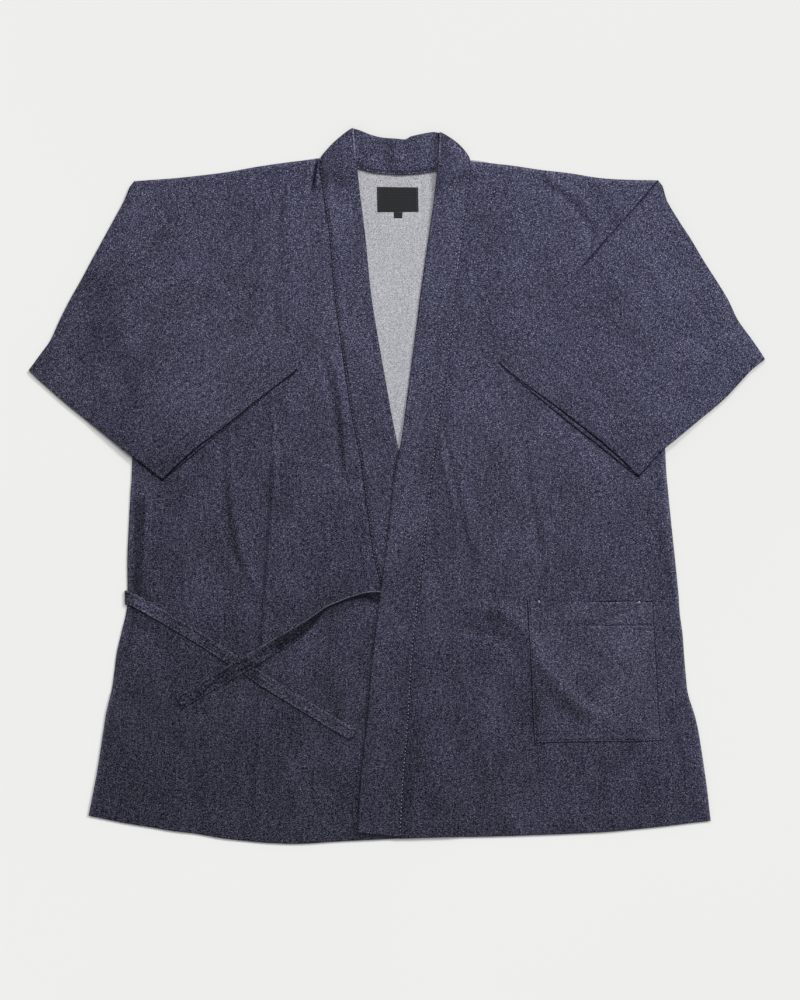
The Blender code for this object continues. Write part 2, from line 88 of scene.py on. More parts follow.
def white_board():
    """Matt paint on a board: even, with a faint cloudiness."""
    material, output = new_material("matt white board")
    tree = material.node_tree
    place = add_node(tree, "ShaderNodeTexCoord")
    cloud = add_node(tree, "ShaderNodeTexNoise", {"Scale": 1.5, "Detail": 2.0},
                     {"Vector": place.outputs["Object"]})
    tint = add_node(tree, "ShaderNodeValToRGB", links={"Fac": cloud.outputs["Fac"]},
                    stops=[(0.3, linear("#F0F0EE")), (0.7, linear("#F2F2F1"))])
    paint = add_node(tree, "ShaderNodeBsdfPrincipled", {"Roughness": 0.9, "Specular IOR Level": 0.1},
                     {"Base Color": tint.outputs["Color"]})
    tree.links.new(paint.outputs["BSDF"], output.inputs["Surface"])
    return material


table_mesh = bpy.data.meshes.new("table")
side = TABLE_HALF_WIDTH
table_mesh.from_pydata(
    [(-side, -side, -TABLE_BELOW), (side, -side, -TABLE_BELOW), (side, side, -TABLE_BELOW),
     (-side, side, -TABLE_BELOW)], [], [(0, 1, 2, 3)])
table_mesh.materials.append(white_board())
table = bpy.data.objects.new("table", table_mesh)
bpy.context.scene.collection.objects.link(table)

# The camera hangs over the middle of the picture and looks straight down, through a long lens. One
# pixel of the 800 by 1000 picture covers 1.14 mm of the table.
PIXEL = 1.14
PICTURE_HEIGHT = 1000
PICTURE_CENTRE = (3.5, -16.5)
CAMERA_HEIGHT = 3200.0
SENSOR = 36.0

lens = bpy.data.cameras.new("camera")
lens.sensor_fit = "VERTICAL"
lens.sensor_height = SENSOR
lens.lens = SENSOR * CAMERA_HEIGHT / (PIXEL * PICTURE_HEIGHT)
lens.clip_end = 50.0
camera = bpy.data.objects.new("camera", lens)
camera.location = (PICTURE_CENTRE[0] * MM, PICTURE_CENTRE[1] * MM, CAMERA_HEIGHT * MM)
bpy.context.scene.collection.objects.link(camera)
bpy.context.scene.camera = camera

# Soft studio light: a white room, a window at the right, a soft box beyond the neck and a weaker one
# overhead. The first two leave soft shadows below and to the left of each edge and fold, and the
# cloth's gloss mirrors the last.
ROOM_LIGHT = 0.235
WINDOW = ("window", (0.62, 0.5, 0.75), 1.5, 0.26)
FAR_BOX = ("soft box beyond the neck", (-0.12, 0.62, 0.8), 0.75, 0.25)
HIGH_BOX = ("soft box overhead", (0.13, 0.24, 0.962), 0.74, 0.3)

room = bpy.data.worlds.new("room")
room.use_nodes = True
room.node_tree.nodes["Background"].inputs["Color"].default_value = linear("#FFFFFF")
room.node_tree.nodes["Background"].inputs["Strength"].default_value = ROOM_LIGHT
bpy.context.scene.world = room


def add_light(name, place, power, spread_angle):
    """A broad far lamp that shines from a place towards the middle of the table."""
    lamp = bpy.data.lights.new(name, "SUN")
    lamp.energy = power
    lamp.angle = spread_angle
    stand = bpy.data.objects.new(name, lamp)
    stand.location = place
    stand.rotation_euler = (-Vector(place)).to_track_quat("-Z", "Y").to_euler()
    bpy.context.scene.collection.objects.link(stand)


for lamp in (WINDOW, FAR_BOX, HIGH_BOX):
    add_light(*lamp)
bpy.context.scene.view_settings.view_transform = "Standard"

# The back: one panel of denim from shoulder to hem, with no centre seam. It lies on the table with
# its pale wrong side up, and shows between the two runs of the collar.
CLOTH = 0.9
AIR = 0.2
BACK_INSET = 1.6
NECK_SEAM_TUCK = 4.0
BACK_HEM_INSET = 3.0
BACK_STEP = 5.0
VENT_TOP = -235
RIGHT_SIDE = [
    (-299, 347), (-300, 211), (-302, 32), (-304, -10), (-306, -50), (-307.5, -85), (-307.7, -136),
    (-314, -167), (-319.4, -190), (-322.3, -212.6), (-325.7, -235.4), (-331, -258), (-334.7, -281),
    (-338.2, -304), (-341.7, -326.6), (-346, -349.4), (-351.3, -376),
]
LEFT_SIDE = [
    (297, 348), (300, 211), (306, 38), (309.5, -10), (313.5, -50), (318.5, -98), (321, -124),
    (322.5, -146), (325.7, -170), (327.5, -195), (329.5, -218), (331.8, -238), (337.5, -256),
    (342.5, -275), (347.8, -307), (352.8, -342), (357.5, -382),
]
HEM = [
    (-351.3, -376), (-340, -378.3), (-313, -384), (-285.5, -388.5), (-258, -393.1), (-231, -396.5),
    (-203, -401.1), (-176, -404.5), (-149, -407), (-110, -408), (-59, -405), (5, -402), (50, -400.5),
    (95, -400), (163, -398), (232, -395), (283, -390.5), (330, -385), (357.5, -382),
]
RIGHT_SHOULDER = [(-299, 347), (-247, 351), (-196, 357), (-162, 363), (-128, 368), (-88, 373)]
LEFT_SHOULDER = [(84, 370), (129, 365), (163, 360), (197, 356), (232, 350.5), (266, 348.5), (297, 348)]
NECK_SEAM = [
    (-88, 371), (-65, 365), (-45, 361), (-25, 356), (1, 354), (24, 355), (47, 359), (66, 364), (84, 369),
]

# The pile is the height of everything laid so far, on squares of the table.
CELL = 2.0
CELLS_X = np.arange(-452.0, 452.1, CELL)
CELLS_Y = np.arange(-440.0, 440.1, CELL)
TABLE_X, TABLE_Y = np.meshgrid(CELLS_X, CELLS_Y)
pile = np.zeros_like(TABLE_X)


def spline(rows, steps):
    """A smooth curve through rows of numbers, with so many steps from each row to the next."""
    rows = np.array(rows, float)
    ends = np.concatenate([2 * rows[:1] - rows[1:2], rows, 2 * rows[-1:] - rows[-2:-1]])
    t = np.linspace(0, 1, steps, endpoint=False)[:, None]
    parts = []
    for p0, p1, p2, p3 in zip(ends, ends[1:], ends[2:], ends[3:]):
        parts.append(0.5 * (2 * p1 + (p2 - p0) * t + (2 * p0 - 5 * p1 + 4 * p2 - p3) * t * t
                            + (3 * p1 - p0 - 3 * p2 + p3) * t ** 3))
    return np.concatenate([*parts, rows[-1:]])


def smooth_line(spots, spacing=2.0):
    """A smooth curve through a row of spots, as points evenly set along it."""
    curve = spline(spots, 24)
    count = max(2, round(line_length(curve) / spacing) + 1)
    return at_share(curve, np.linspace(0, 1, count))


def line_length(line):
    """The length of a line, seen from above."""
    return float(np.hypot(*np.diff(line[:, :2], axis=0).T).sum())


def at_share(line, shares):
    """Points at shares of a line's length, for shares of any shape."""
    steps = np.hypot(*np.diff(line[:, :2], axis=0).T)
    reached = np.concatenate([[0.0], np.cumsum(steps)])
    found = [np.interp(np.asarray(shares) * reached[-1], reached, column) for column in line.T]
    return np.stack(found, -1)


def stops(width, near, far, count):
    """Distances across a width: close-set at both edges, even between, with a row per width."""
    width = np.atleast_1d(width)[:, None]
    even = np.linspace(0, 1, count + 1)[1:-1]
    first, last = np.full_like(width, near[-1]), width - far[-1]
    middle = first + (last - first) * even
    return np.concatenate([
        np.broadcast_to(near, (len(width), len(near))), middle, width - np.array(far[::-1]),
    ], 1)


FINE_EDGE = (0.0, 0.35, 1.0, 2.2)


def panel_plan(top, bottom, start, end, step, near=FINE_EDGE, far=FINE_EDGE, over=FINE_EDGE, under=FINE_EDGE):
    """A panel's points on the table between four edge lines, with their distances from each edge."""
    rows = round((line_length(start) + line_length(end)) / 2 / step)
    columns = round((line_length(top) + line_length(bottom)) / 2 / step)
    nominal_down = stops((line_length(start) + line_length(end)) / 2, over, under, rows)[0]
    down = nominal_down / nominal_down[-1]
    widths = np.hypot(*(at_share(end, down) - at_share(start, down)).T)
    across = stops(widths, near, far, columns)
    u = across / widths[:, None]
    heights = np.hypot(*(at_share(bottom, u[0]) - at_share(top, u[0])).T)
    v = (stops(heights, over, under, rows) / heights[:, None]).T
    heights = np.broadcast_to(heights, v.shape)
    u1, v1 = u[..., None], v[..., None]
    place = (at_share(top, u) * (1 - v1) + at_share(bottom, u) * v1
             + at_share(start, v) * (1 - u1) + at_share(end, v) * u1
             - (top[0] * (1 - u1) + top[-1] * u1) * (1 - v1)
             - (bottom[0] * (1 - u1) + bottom[-1] * u1) * v1)
    edges = {"start": across, "end": widths[:, None] - across, "top": v * heights,
             "bottom": (1 - v) * heights}
    return place[..., 0], place[..., 1], edges


def spread(level, drop):
    """Each square as high as its highest neighbour, less a drop for the distance."""
    padded = np.pad(level, 1, mode="edge")
    rows, columns = level.shape
    highest = level
    for dy in range(3):
        for dx in range(3):
            shifted = padded[dy:dy + rows, dx:dx + columns] - drop * math.hypot(dy - 1, dx - 1)
            highest = np.maximum(highest, shifted)
    return highest


def soften(level):
    """Each square as the mean of its neighbours and itself."""
    padded = np.pad(level, 1, mode="edge")
    rows, columns = level.shape
    return sum(padded[dy:dy + rows, dx:dx + columns] for dy in range(3) for dx in range(3)) / 9


def draped(level, reach=6.0, slope=0.16, longest=14):
    """How cloth lies over the pile: level for the reach past an edge, then down a slope, softly."""
    cells = round(reach / CELL)
    for _ in range(cells + 1):
        level = spread(level, 0.0)
    for _ in range(longest):
        level = spread(level, slope * CELL)
    for _ in range(cells):
        level = soften(level)
    return level


def sample(level, x, y):
    """The level at points of any shape, on a smooth surface over the squares."""
    column, row = (x - CELLS_X[0]) / CELL, (y - CELLS_Y[0]) / CELL
    left, low = np.floor(column).astype(int), np.floor(row).astype(int)
    tx, ty = column - left, row - low

    def weights(t):
        return ((1 - t) ** 3 / 6, (3 * t ** 3 - 6 * t * t + 4) / 6,
                (-3 * t ** 3 + 3 * t * t + 3 * t + 1) / 6, t ** 3 / 6)

    total = np.zeros_like(x, dtype=float)
    for i, wy in enumerate(weights(ty)):
        for j, wx in enumerate(weights(tx)):
            rows = np.clip(low + i - 1, 0, level.shape[0] - 1)
            columns = np.clip(left + j - 1, 0, level.shape[1] - 1)
            total += wy * wx * level[rows, columns]
    return total


def inside(outline, x, y):
    """Which points lie inside a closed outline."""
    found = np.zeros(np.shape(x), bool)
    for (x0, y0), (x1, y1) in zip(outline, np.roll(outline, -1, 0)):
        if y0 != y1:
            crossing = (y0 > y) != (y1 > y)
            found ^= crossing & (x < x0 + (x1 - x0) * (y - y0) / (y1 - y0))
    return found


def resting(level, x, y):
    """The lowest level for cloth on the pile: a little air over cloth, none over the bare table."""
    below = sample(level, x, y)
    return below + AIR * np.clip(below / 0.5, 0, 1)


def lay_on_pile(outline, top):
    """Raises the pile to a new piece's top, inside its outline."""
    covered = inside(outline, TABLE_X, TABLE_Y)
    pile[covered] = np.maximum(pile, top)[covered]


def faces_between(first, second):
    """Faces between two closed rings of point numbers."""
    return list(zip(first, np.roll(first, -1), np.roll(second, -1), second))


def finish_piece(name, points, faces, cut, bake, material, node, wear_and_shade):
    """Makes an object of points in millimetres, with its weave map and a map for baking."""
    mesh = bpy.data.meshes.new(name)
    mesh.from_pydata((np.asarray(points) * MM).tolist(), [], faces)
    mesh.validate()
    corners = np.concatenate([np.asarray(face) for face in faces])
    for layer, values in (("cut", np.asarray(cut)[corners] * MM), ("OFBake", np.concatenate(bake))):
        mesh.uv_layers.new(name=layer).uv.foreach_set("vector", values.astype(np.float32).ravel())
    wear_and_shade_values = mesh.attributes.new("wear_and_shade", "FLOAT", "POINT")
    wear_and_shade_values.data.foreach_set("value", np.asarray(wear_and_shade, np.float32).ravel())
    mesh.shade_smooth()
    mesh.materials.append(material)
    piece = bpy.data.objects.new(name, mesh)
    bpy.context.scene.collection.objects.link(piece)
    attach(piece, "root")
    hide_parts(node)
    return piece


def panel_piece(name, x, y, low, top, material, node, wear_and_shade=0.0):
    """A panel as a closed shell: its upper and lower faces meet in one rounded edge all round.

    Its cloth is cut with the warp along Y, so its weave map is its plan."""
    rows, columns = x.shape
    middle = (low + top) / 2
    rim = np.ones(x.shape, bool)
    rim[1:-1, 1:-1] = False
    upper = np.where(rim, middle, top)
    number = np.arange(rows * columns).reshape(rows, columns)
    under = number.copy()
    lower = np.arange((rows - 2) * (columns - 2)).reshape(rows - 2, columns - 2)
    under[1:-1, 1:-1] = lower + rows * columns
    points = np.concatenate([
        np.stack([x, y, upper], -1).reshape(-1, 3),
        np.stack([x, y, low], -1)[1:-1, 1:-1].reshape(-1, 3),
    ])

    def quads(numbers):
        corners = [numbers[1:, :-1], numbers[1:, 1:], numbers[:-1, 1:], numbers[:-1, :-1]]
        return np.stack(corners, -1).reshape(-1, 4)

    ahead = quads(number)
    if (x[0, 1] - x[0, 0]) * (y[0, 0] - y[1, 0]) - (y[0, 1] - y[0, 0]) * (x[0, 0] - x[1, 0]) < 0:
        ahead = ahead[:, ::-1]
        behind = quads(under)
    else:
        behind = quads(under)[:, ::-1]
    flat = points[:, :2] - points[:, :2].min(0)
    size = max(flat[:, 0].max() * 2.06, flat[:, 1].max() * 1.02)
    spot = flat / size + 0.008
    bake = [spot[ahead.ravel()], spot[behind.ravel()] + (0.5, 0)]
    wear_and_shade_values = np.zeros(len(points))
    wear_and_shade_values[:rows * columns] = np.broadcast_to(wear_and_shade, x.shape).ravel()
    faces = np.concatenate([ahead, behind]).tolist()
    return finish_piece(name, points, faces, points[:, :2], bake, material, node, wear_and_shade_values)


# Yarn-dyed slub denim: indigo warp and white weft in a twill, woven of uneven yarn and left matt.
# The right side is dark blue with pale flecks of weft, and the wrong side nearly white with dark ones.
# A real float of yarn is 0.6 mm long. It is drawn 1.6 mm long, about the finest that shows here. The
# pale floats shine a little and the dark ones stay matt. Over a random unevenness of the indigo, the
# colour is painted darker and warmer towards the lower right side of the jacket, and paler and bluer
# towards the left shoulder: painted light, as if the lamps fell brighter towards the left shoulder.
FLOAT = (1.6, 0.85)
DOT = (1.0, 0.8)
BUNCH = (4.5, 3.0)
SLUB = (2.2, 30.0)
CLOUD = (95.0, 150.0)
DYE = (38.0, 60.0)
RIGHT_DYE_AND_LIGHT = ("#918E89", "#F2F2FF")
PAINTED_LIGHT_SLOPE = (0.65, 1.05, 0.0)


def denim(name, tones, gloss=(0.0, 1.7), roughness=0.48, stripes=0.12, sizes=FLOAT, dye_and_light=RIGHT_DYE_AND_LIGHT):
    """Denim from four tones: the deepest yarn, the body, the pale yarn and the brightest fleck."""
    material, output = new_material(name)
    tree = material.node_tree
    weave = add_node(tree, "ShaderNodeUVMap", {"uv_map": "cut"})

    def placed(size, shift):
        mapped = add_node(tree, "ShaderNodeMapping", {
            "Location": (shift, shift * 1.7, 0), "Scale": (1 / (size[0] * MM), 1 / (size[1] * MM), 1)},
            {"Vector": weave.outputs["UV"]})
        return {"Vector": mapped.outputs["Vector"]}

    def yarn(size, detail, shift):
        return add_node(tree, "ShaderNodeTexNoise", {
            "noise_dimensions": "2D", "Scale": 1.0, "Detail": detail}, placed(size, shift)).outputs["Fac"]

    def math_node(kind, first, second):
        mixed = add_node(tree, "ShaderNodeMath", {"operation": kind}, {0: first})
        if isinstance(second, float):
            mixed.inputs[1].default_value = second
        else:
            tree.links.new(second, mixed.inputs[1])
        return mixed.outputs[0]

    def centred(value, weight):
        return math_node("MULTIPLY", math_node("SUBTRACT", value, 0.5), weight)

    cells = add_node(tree, "ShaderNodeTexVoronoi", {
        "voronoi_dimensions": "2D", "Scale": 1.0, "Randomness": 0.75}, placed(sizes, 0.3))
    one = add_node(tree, "ShaderNodeSeparateColor", links={"Color": cells.outputs["Color"]})
    tone = math_node("ADD", centred(one.outputs["Red"], 0.25), 0.5)
    for size, detail, shift, weight in ((sizes, 0.0, 7.1, 0.6), (DOT, 0.0, 1.1, 0.6), (BUNCH, 1.0, 2.9, 0.26),
                                        (SLUB, 1.0, 3.7, stripes), (CLOUD, 2.0, 5.3, 0.08)):
        tone = math_node("ADD", tone, centred(yarn(size, detail, shift), weight))
    # The point attribute read here lightens or darkens the yarn: real wear on rubbed folds, and painted shade
    # and painted highlight along seams, creases and raised edges.
    wear_and_shade = add_node(tree, "ShaderNodeAttribute", {"attribute_name": "wear_and_shade"})
    tone = math_node("ADD", tone, math_node("MULTIPLY", wear_and_shade.outputs["Fac"], 0.35))
    colour = add_node(tree, "ShaderNodeValToRGB", links={"Fac": tone},
                      stops=[(at, linear(hue)) for at, hue in zip((0.05, 0.5, 0.74, 0.94), tones)])
    place = add_node(tree, "ShaderNodeTexCoord")
    # Painted light: the colour grows paler and bluer towards the left shoulder, darker towards the lower
    # right side.
    light_slope = add_node(tree, "ShaderNodeVectorMath", {"operation": "DOT_PRODUCT", 1: PAINTED_LIGHT_SLOPE},
                      {0: place.outputs["Object"]})
    depth = math_node("ADD", centred(yarn(DYE, 1.0, 8.6), 0.75), light_slope.outputs["Value"])
    dye_and_light_ramp = add_node(tree, "ShaderNodeValToRGB", links={"Fac": math_node("ADD", depth, 0.5)},
                    stops=[(0.1, linear(dye_and_light[0])), (0.9, linear(dye_and_light[1]))])
    coloured = add_node(tree, "ShaderNodeMix", {"data_type": "RGBA", "blend_type": "MULTIPLY", 0: 1.0},
                    {6: colour.outputs["Color"], 7: dye_and_light_ramp.outputs["Color"]})
    shine = add_node(tree, "ShaderNodeMapRange", {1: 0.34, 2: 0.9, 3: gloss[0], 4: gloss[1]}, {0: tone})
    bump = add_node(tree, "ShaderNodeBump", {"Strength": 0.3, "Distance": 0.35 * MM}, {"Height": tone})
    cloth = add_node(tree, "ShaderNodeBsdfPrincipled", {
        "Roughness": roughness, "Specular Tint": linear("#CBCBFA"), "Sheen Weight": 0.03,
        "Sheen Roughness": 0.6, "Sheen Tint": linear("#C9D0F2")},
        {"Base Color": coloured.outputs[2], "Specular IOR Level": shine.outputs[0],
         "Normal": bump.outputs["Normal"]})
    tree.links.new(cloth.outputs["BSDF"], output.inputs["Surface"])
    return material


right_side_out = denim("slub denim, right side", ("#11121D", "#2E2E3D", "#575765", "#A5A5AE"))
wrong_side_out = denim("slub denim, wrong side", ("#6E7078", "#B4B4BA", "#CCCCD2", "#EAEAEC"),
                       (0.1, 0.1), 0.9, dye_and_light=("#F4F4F6", "#FFFFFF"))


def shifted(spots, dy):
    return [(x, y + dy) for x, y in spots]


def inset_side(spots, toward_middle):
    """A side edge of the back, a little inside the front's folded one."""
    return [(x + toward_middle * (BACK_INSET if y > VENT_TOP else BACK_HEM_INSET), y) for x, y in spots]


back_top = smooth_line(shifted(
    [(RIGHT_SHOULDER[0][0] + BACK_INSET, RIGHT_SHOULDER[0][1]), *RIGHT_SHOULDER[1:-1],
     *shifted(NECK_SEAM, dy=NECK_SEAM_TUCK),
     *LEFT_SHOULDER[1:-1], (LEFT_SHOULDER[-1][0] - BACK_INSET, LEFT_SHOULDER[-1][1])], dy=-BACK_INSET))
right_edge = inset_side(RIGHT_SIDE, 1)
left_edge = inset_side(LEFT_SIDE, -1)
right_edge[0] = tuple(back_top[0])
left_edge[0] = tuple(back_top[-1])
right_edge[-1] = (right_edge[-1][0], right_edge[-1][1] + BACK_HEM_INSET)
left_edge[-1] = (left_edge[-1][0], left_edge[-1][1] + BACK_HEM_INSET)
back_hem = smooth_line([right_edge[-1], *shifted(HEM[1:-1], dy=BACK_HEM_INSET), left_edge[-1]])
back_x, back_y, _ = panel_plan(back_top, back_hem, smooth_line(right_edge), smooth_line(left_edge),
                               BACK_STEP)
back_low = np.zeros_like(back_x)
back = panel_piece("back_panel", back_x, back_y, back_low, back_low + CLOTH, wrong_side_out,
                   "back")
back_outline = np.concatenate([
    back_top, smooth_line(left_edge), back_hem[::-1], smooth_line(right_edge)[::-1]])
lay_on_pile(back_outline, np.full_like(pile, CLOTH))

# The under front: one panel of denim, folded over the shoulder and sewn to the back down the side as
# far as the vent. Its front edge is sewn inside the collar band.
FRONT_AIR = 1.1
SIDE_ROLL = 2.4
SEAM_TUCK = 1.3
FRONT_STEP = 2.9
TURNED_HEM = 22.0
UNDER_RUN = [
    (360, -88, -45), (332, -84, -42), (284, -77, -36), (223, -72, -30), (177, -66, -23), (126, -59, -14),
    (75, -51, -5), (30, -42, 4), (-28, -34, 14), (-79, -27, 18), (-119, -18, 23), (-196, -10, 34),
    (-265, -7, 40), (-339, -1, 48), (-399, 2, 53),
]


def fold_rise(x, y, points, rise, half_width, crest):
    """How far one fold lifts the cloth: along a line of points, fading at both ends."""
    line = smooth_line(points, 6.0)
    nearest = np.full(np.shape(x), 1e9)
    share = np.zeros(np.shape(x))
    total = len(line) - 1
    for index, (a, b) in enumerate(zip(line, line[1:])):
        step = b - a
        part = np.clip(((x - a[0]) * step[0] + (y - a[1]) * step[1]) / (step @ step), 0, 1)
        distance = np.hypot(x - a[0] - step[0] * part, y - a[1] - step[1] * part)
        closer = distance < nearest
        share = np.where(closer, (index + part) / total, share)
        nearest = np.where(closer, distance, nearest)
    near = np.clip(1 - nearest / half_width, 0, 1)
    soft = near * near * (3 - 2 * near)
    profile = soft * (1 - crest) + near ** 1.6 * crest
    ends = np.clip(share / 0.2, 0, 1) * np.clip((1 - share) / 0.2, 0, 1)
    return rise * profile * ends * (2 - ends)


def all_folds(x, y, folds):
    return sum(fold_rise(x, y, *fold) for fold in folds)


def soft_waves(x, y, seed, height, across, along, turn=0.0):
    """Loose unevenness of laid cloth: a few dozen long, low waves, longer along the warp."""
    dice = np.random.default_rng(seed)
    angle = math.radians(turn)
    u = x * math.cos(angle) + y * math.sin(angle)
    v = y * math.cos(angle) - x * math.sin(angle)
    total = np.zeros_like(x, dtype=float)
    count = 28
    for _ in range(count):
        long, wide = dice.uniform(0.7, 1.8, 2) * (along, across)
        lean = dice.normal(0, 1)
        total += np.sin(math.tau * (u / wide + lean * v / long) + dice.uniform(0, math.tau))
    return height * total / math.sqrt(count)


def at_least_none(rise):
    """Rises as they are, but softly held to no less than none."""
    return 0.5 * (rise + np.sqrt(rise * rise + 0.06))


def rolled(distance, radius=SIDE_ROLL):
    """How full an edge is that turns down to the table: nothing at the fold, all past its radius."""
    near = np.clip(distance / radius, 0, 1)
    return np.sqrt(1 - (1 - near) ** 2)


RIGHT_FOLDS = [
    # points, rise, half width, how sharp its crest is
    ([(-130, 346), (-133, 318), (-136, 296), (-139, 268)], -1.1, 7, 0.6),
    ([(-122, 340), (-124, 300), (-122, 250)], 0.54, 12, 0.2),
    ([(-140, 236), (-141, 205), (-139, 172)], -0.76, 8, 0.4),
    ([(-86.5, 376), (-89.5, 355), (-92, 333)], 1.8, 4.2, 0.5),
    ([(-91, 374), (-93.5, 363), (-96.5, 347), (-97.5, 331)], -1.4, 4, 0.7),
    ([(-192.5, 286), (-195, 250), (-196, 222)], -0.76, 7, 0.5),
    ([(-143, 100), (-140, 20), (-141, -20), (-146, -85), (-150, -150), (-155, -268), (-163, -385)],
     1.7, 6, 0.7),
    ([(-191, 66), (-189, -10), (-180, -66), (-170, -96), (-150, -140)], 0.94, 9, 0.7),
    ([(-199, 60), (-197, -14), (-188, -72), (-176, -104)], -1.01, 9, 0.5),
    ([(-74, 150), (-66, 115), (-60, 65), (-56, 8)], 1.8, 7.5, 0.6),
    ([(-87, 162), (-80, 122), (-73, 90), (-68, 46), (-65, 2)], -1.3, 7, 0.6),
    ([(-40, 5), (-39, -25), (-37, -55)], 0.88, 5, 0.5),
    ([(-138, 37), (-108, 27), (-76, 20), (-52, 16)], 0.5, 4.5, 0.8),
    ([(-285.5, -8), (-286, -42), (-287, -71), (-290, -101), (-292, -128)], 2.4, 8, 0.2),
    ([(-299, -15), (-300, -70), (-302, -120)], -1.35, 5, 0.3),
    ([(-291, -134), (-295.7, -152), (-300.5, -171.6), (-306, -198)], 1.7, 6.5, 0.2),
    ([(-232, 40), (-236, -60), (-244, -170), (-250, -300)], 0.47, 22, 0.0),
    ([(-110, -150), (-108, -230), (-112, -330), (-118, -400)], 0.54, 16, 0.3),
    ([(-212, -210), (-214, -300), (-222, -395)], 0.54, 16, 0.2),
    ([(-60, -220), (-58, -300), (-62, -398)], 0.47, 13, 0.3),
]

right_seam = smooth_line([
    (-88 + SEAM_TUCK, 373), *((seam + SEAM_TUCK, y) for y, seam, free in UNDER_RUN[1:-1]),
    (2 + SEAM_TUCK, -402)])
right_shoulder = smooth_line([*RIGHT_SHOULDER[:-1], tuple(right_seam[0])])
right_hem = smooth_line([RIGHT_SIDE[-1], *(spot for spot in HEM[1:] if spot[0] < -10), tuple(right_seam[-1])])
right_side = smooth_line(RIGHT_SIDE)
right_x, right_y, edge = panel_plan(right_shoulder, right_hem, right_side, right_seam, FRONT_STEP)


def right_rise(x, y):
    waves = soft_waves(x, y, 11, 0.2, 60, 170)
    return at_least_none(FRONT_AIR + waves + all_folds(x, y, RIGHT_FOLDS))


def fold_wear_and_highlight(shoulder, side):
    """How pale a front's folds are painted, at the shoulder and down the side: wear and a painted highlight.
    """
    return 0.5 * np.exp(-(side / 3.0) ** 2) + 0.3 * np.exp(-(shoulder / 2.0) ** 2)


def hem_layers(distance):
    """The cloth's thickness near a hem that is turned up twice."""
    return CLOTH + 0.25 / (1 + np.exp(np.clip((distance - TURNED_HEM) / 3, -30, 30)))


bed = draped(pile)
turned_down = rolled(edge["top"]) * np.where((right_y > VENT_TOP), rolled(edge["start"]), 1.0)
ease = np.clip(edge["end"] / 6, 0, 1)
right_low = (resting(bed, right_x, right_y) + right_rise(right_x, right_y) * ease) * turned_down
right_top = right_low + hem_layers(edge["bottom"])
# The crease beside the collar is painted darker: painted shade in its valley.
COLLAR_CREASE = [(-88.8, 374), (-91.9, 363), (-95, 347.6), (-95.8, 335.3)]
crease_shade = fold_rise(right_x, right_y, COLLAR_CREASE, 1.0, 3.0, 0.5)
right_front = panel_piece("under_front_panel", right_x, right_y, right_low, right_top, right_side_out,
                          "right_front", fold_wear_and_highlight(edge["top"], edge["start"]) - crease_shade)
right_outline = np.concatenate([right_shoulder, right_seam, right_hem[::-1], right_side[::-1]])
under_bed = pile.copy()
lay_on_pile(right_outline, resting(bed, TABLE_X, TABLE_Y) + right_rise(TABLE_X, TABLE_Y) + CLOTH)

# The collar: one long band of denim, folded double, that runs from hem to hem round the neck and
# takes both front edges between its layers. Behind the neck it lies inside out, and at each side
# of the neck it turns over on a slant.
BAND = 2.0
BAND_PUFF = 0.5
FOLD_AIR = 0.8
COLLAR_TOP = [
    (-45, 405.6), (-39.3, 403.3), (-30, 399.5), (-17.7, 396.4), (-2.2, 395.1), (10.3, 394.3), (14.8, 397.2),
    (24.1, 399.5), (36.5, 401.9), (44, 402.8),
]
OVER_RUN = [
    (360, 84, 47), (325, 80, 42), (284, 75, 36), (221, 67, 27), (189, 65, 23), (143, 59, 17), (97, 52, 11),
    (52, 46, 5), (19, 42, -2), (-21, 37, -7), (-69, 32, -12), (-131, 25, -20), (-196, 18, -28),
    (-265, 14, -34), (-339, 8, -42), (-402, 5, -45),
]
# Across the band: distance from the seam edge, height of its upper face and of its lower face
SEAM_EDGE = [
    (0.0, 1.25, 1.25), (0.3, 1.7, 1.0), (0.8, 2.05, 0.95), (1.5, 1.6, 0.95), (2.3, 2.1, 1.0),
    (3.4, 2.42, 0.2), (5.0, 2.5, 0.0),
]
SEAM_STITCH = 3
FREE_EDGE = [(2.2, 2.0, 0.0), (1.0, 1.92, 0.06), (0.35, 1.6, 0.35), (0.0, 1.0, 1.0)]
BAND_ACROSS = 15
BAND_SPACING = 2.6
CORNER_CUT = 1.0
CORNER_REACH = 1.6
CORNER_SLIM = 0.4
FOLD_CENTRE = BAND + BAND_PUFF + FOLD_AIR


def band_section(width):
    """The points round the band's section: distance from the seam edge and height, upper face first."""
    first, last = SEAM_EDGE[-1][0], width - FREE_EDGE[0][0]
    middle = [(first + (last - first) * share, BAND + BAND_PUFF * (1 - share) ** 3, 0.0)
              for share in np.linspace(0, 1, BAND_ACROSS)[1:-1]]
    across = [*SEAM_EDGE, *middle, *((width - d, high, low) for d, high, low in FREE_EDGE)]
    return [(d, high) for d, high, low in across] + [(d, low) for d, high, low in across[-2:0:-1]]


def band_rows(seam_spots, free_spots):
    """Rows across the band, evenly set along it, from a table's pairs of spots."""
    longest = max(line_length(smooth_line(seam_spots)), line_length(smooth_line(free_spots)))
    count = round(longest / BAND_SPACING)
    dense = spline(np.concatenate([np.array(seam_spots, float), np.array(free_spots, float)], 1), 12)
    steps = (np.hypot(*np.diff(dense[:, :2], axis=0).T) + np.hypot(*np.diff(dense[:, 2:], axis=0).T)) / 2
    reached = np.concatenate([[0.0], np.cumsum(steps)])
    wanted = np.linspace(0, reached[-1], count + 1)
    rows = np.stack([np.interp(wanted, reached, column) for column in dense.T], -1)
    return rows[:, :2], rows[:, 2:]


def run_rings(seam, free, lift, rise):
    """Rings of a front run: right side up, on its bed, with a lift at each of its two edges."""
    rings = []
    for a, b in zip(seam, free):
        width = math.dist(a, b)
        ring = []
        for distance, height in band_section(width):
            x, y = a + (b - a) * distance / width
            ring.append((x, y, height, distance / width))
        rings.append(ring)
    x, y, height, share = np.moveaxis(np.array(rings), -1, 0)
    z = resting(rise, x, y) + lift(y, share) + height
    return np.stack([x, y, z], -1)


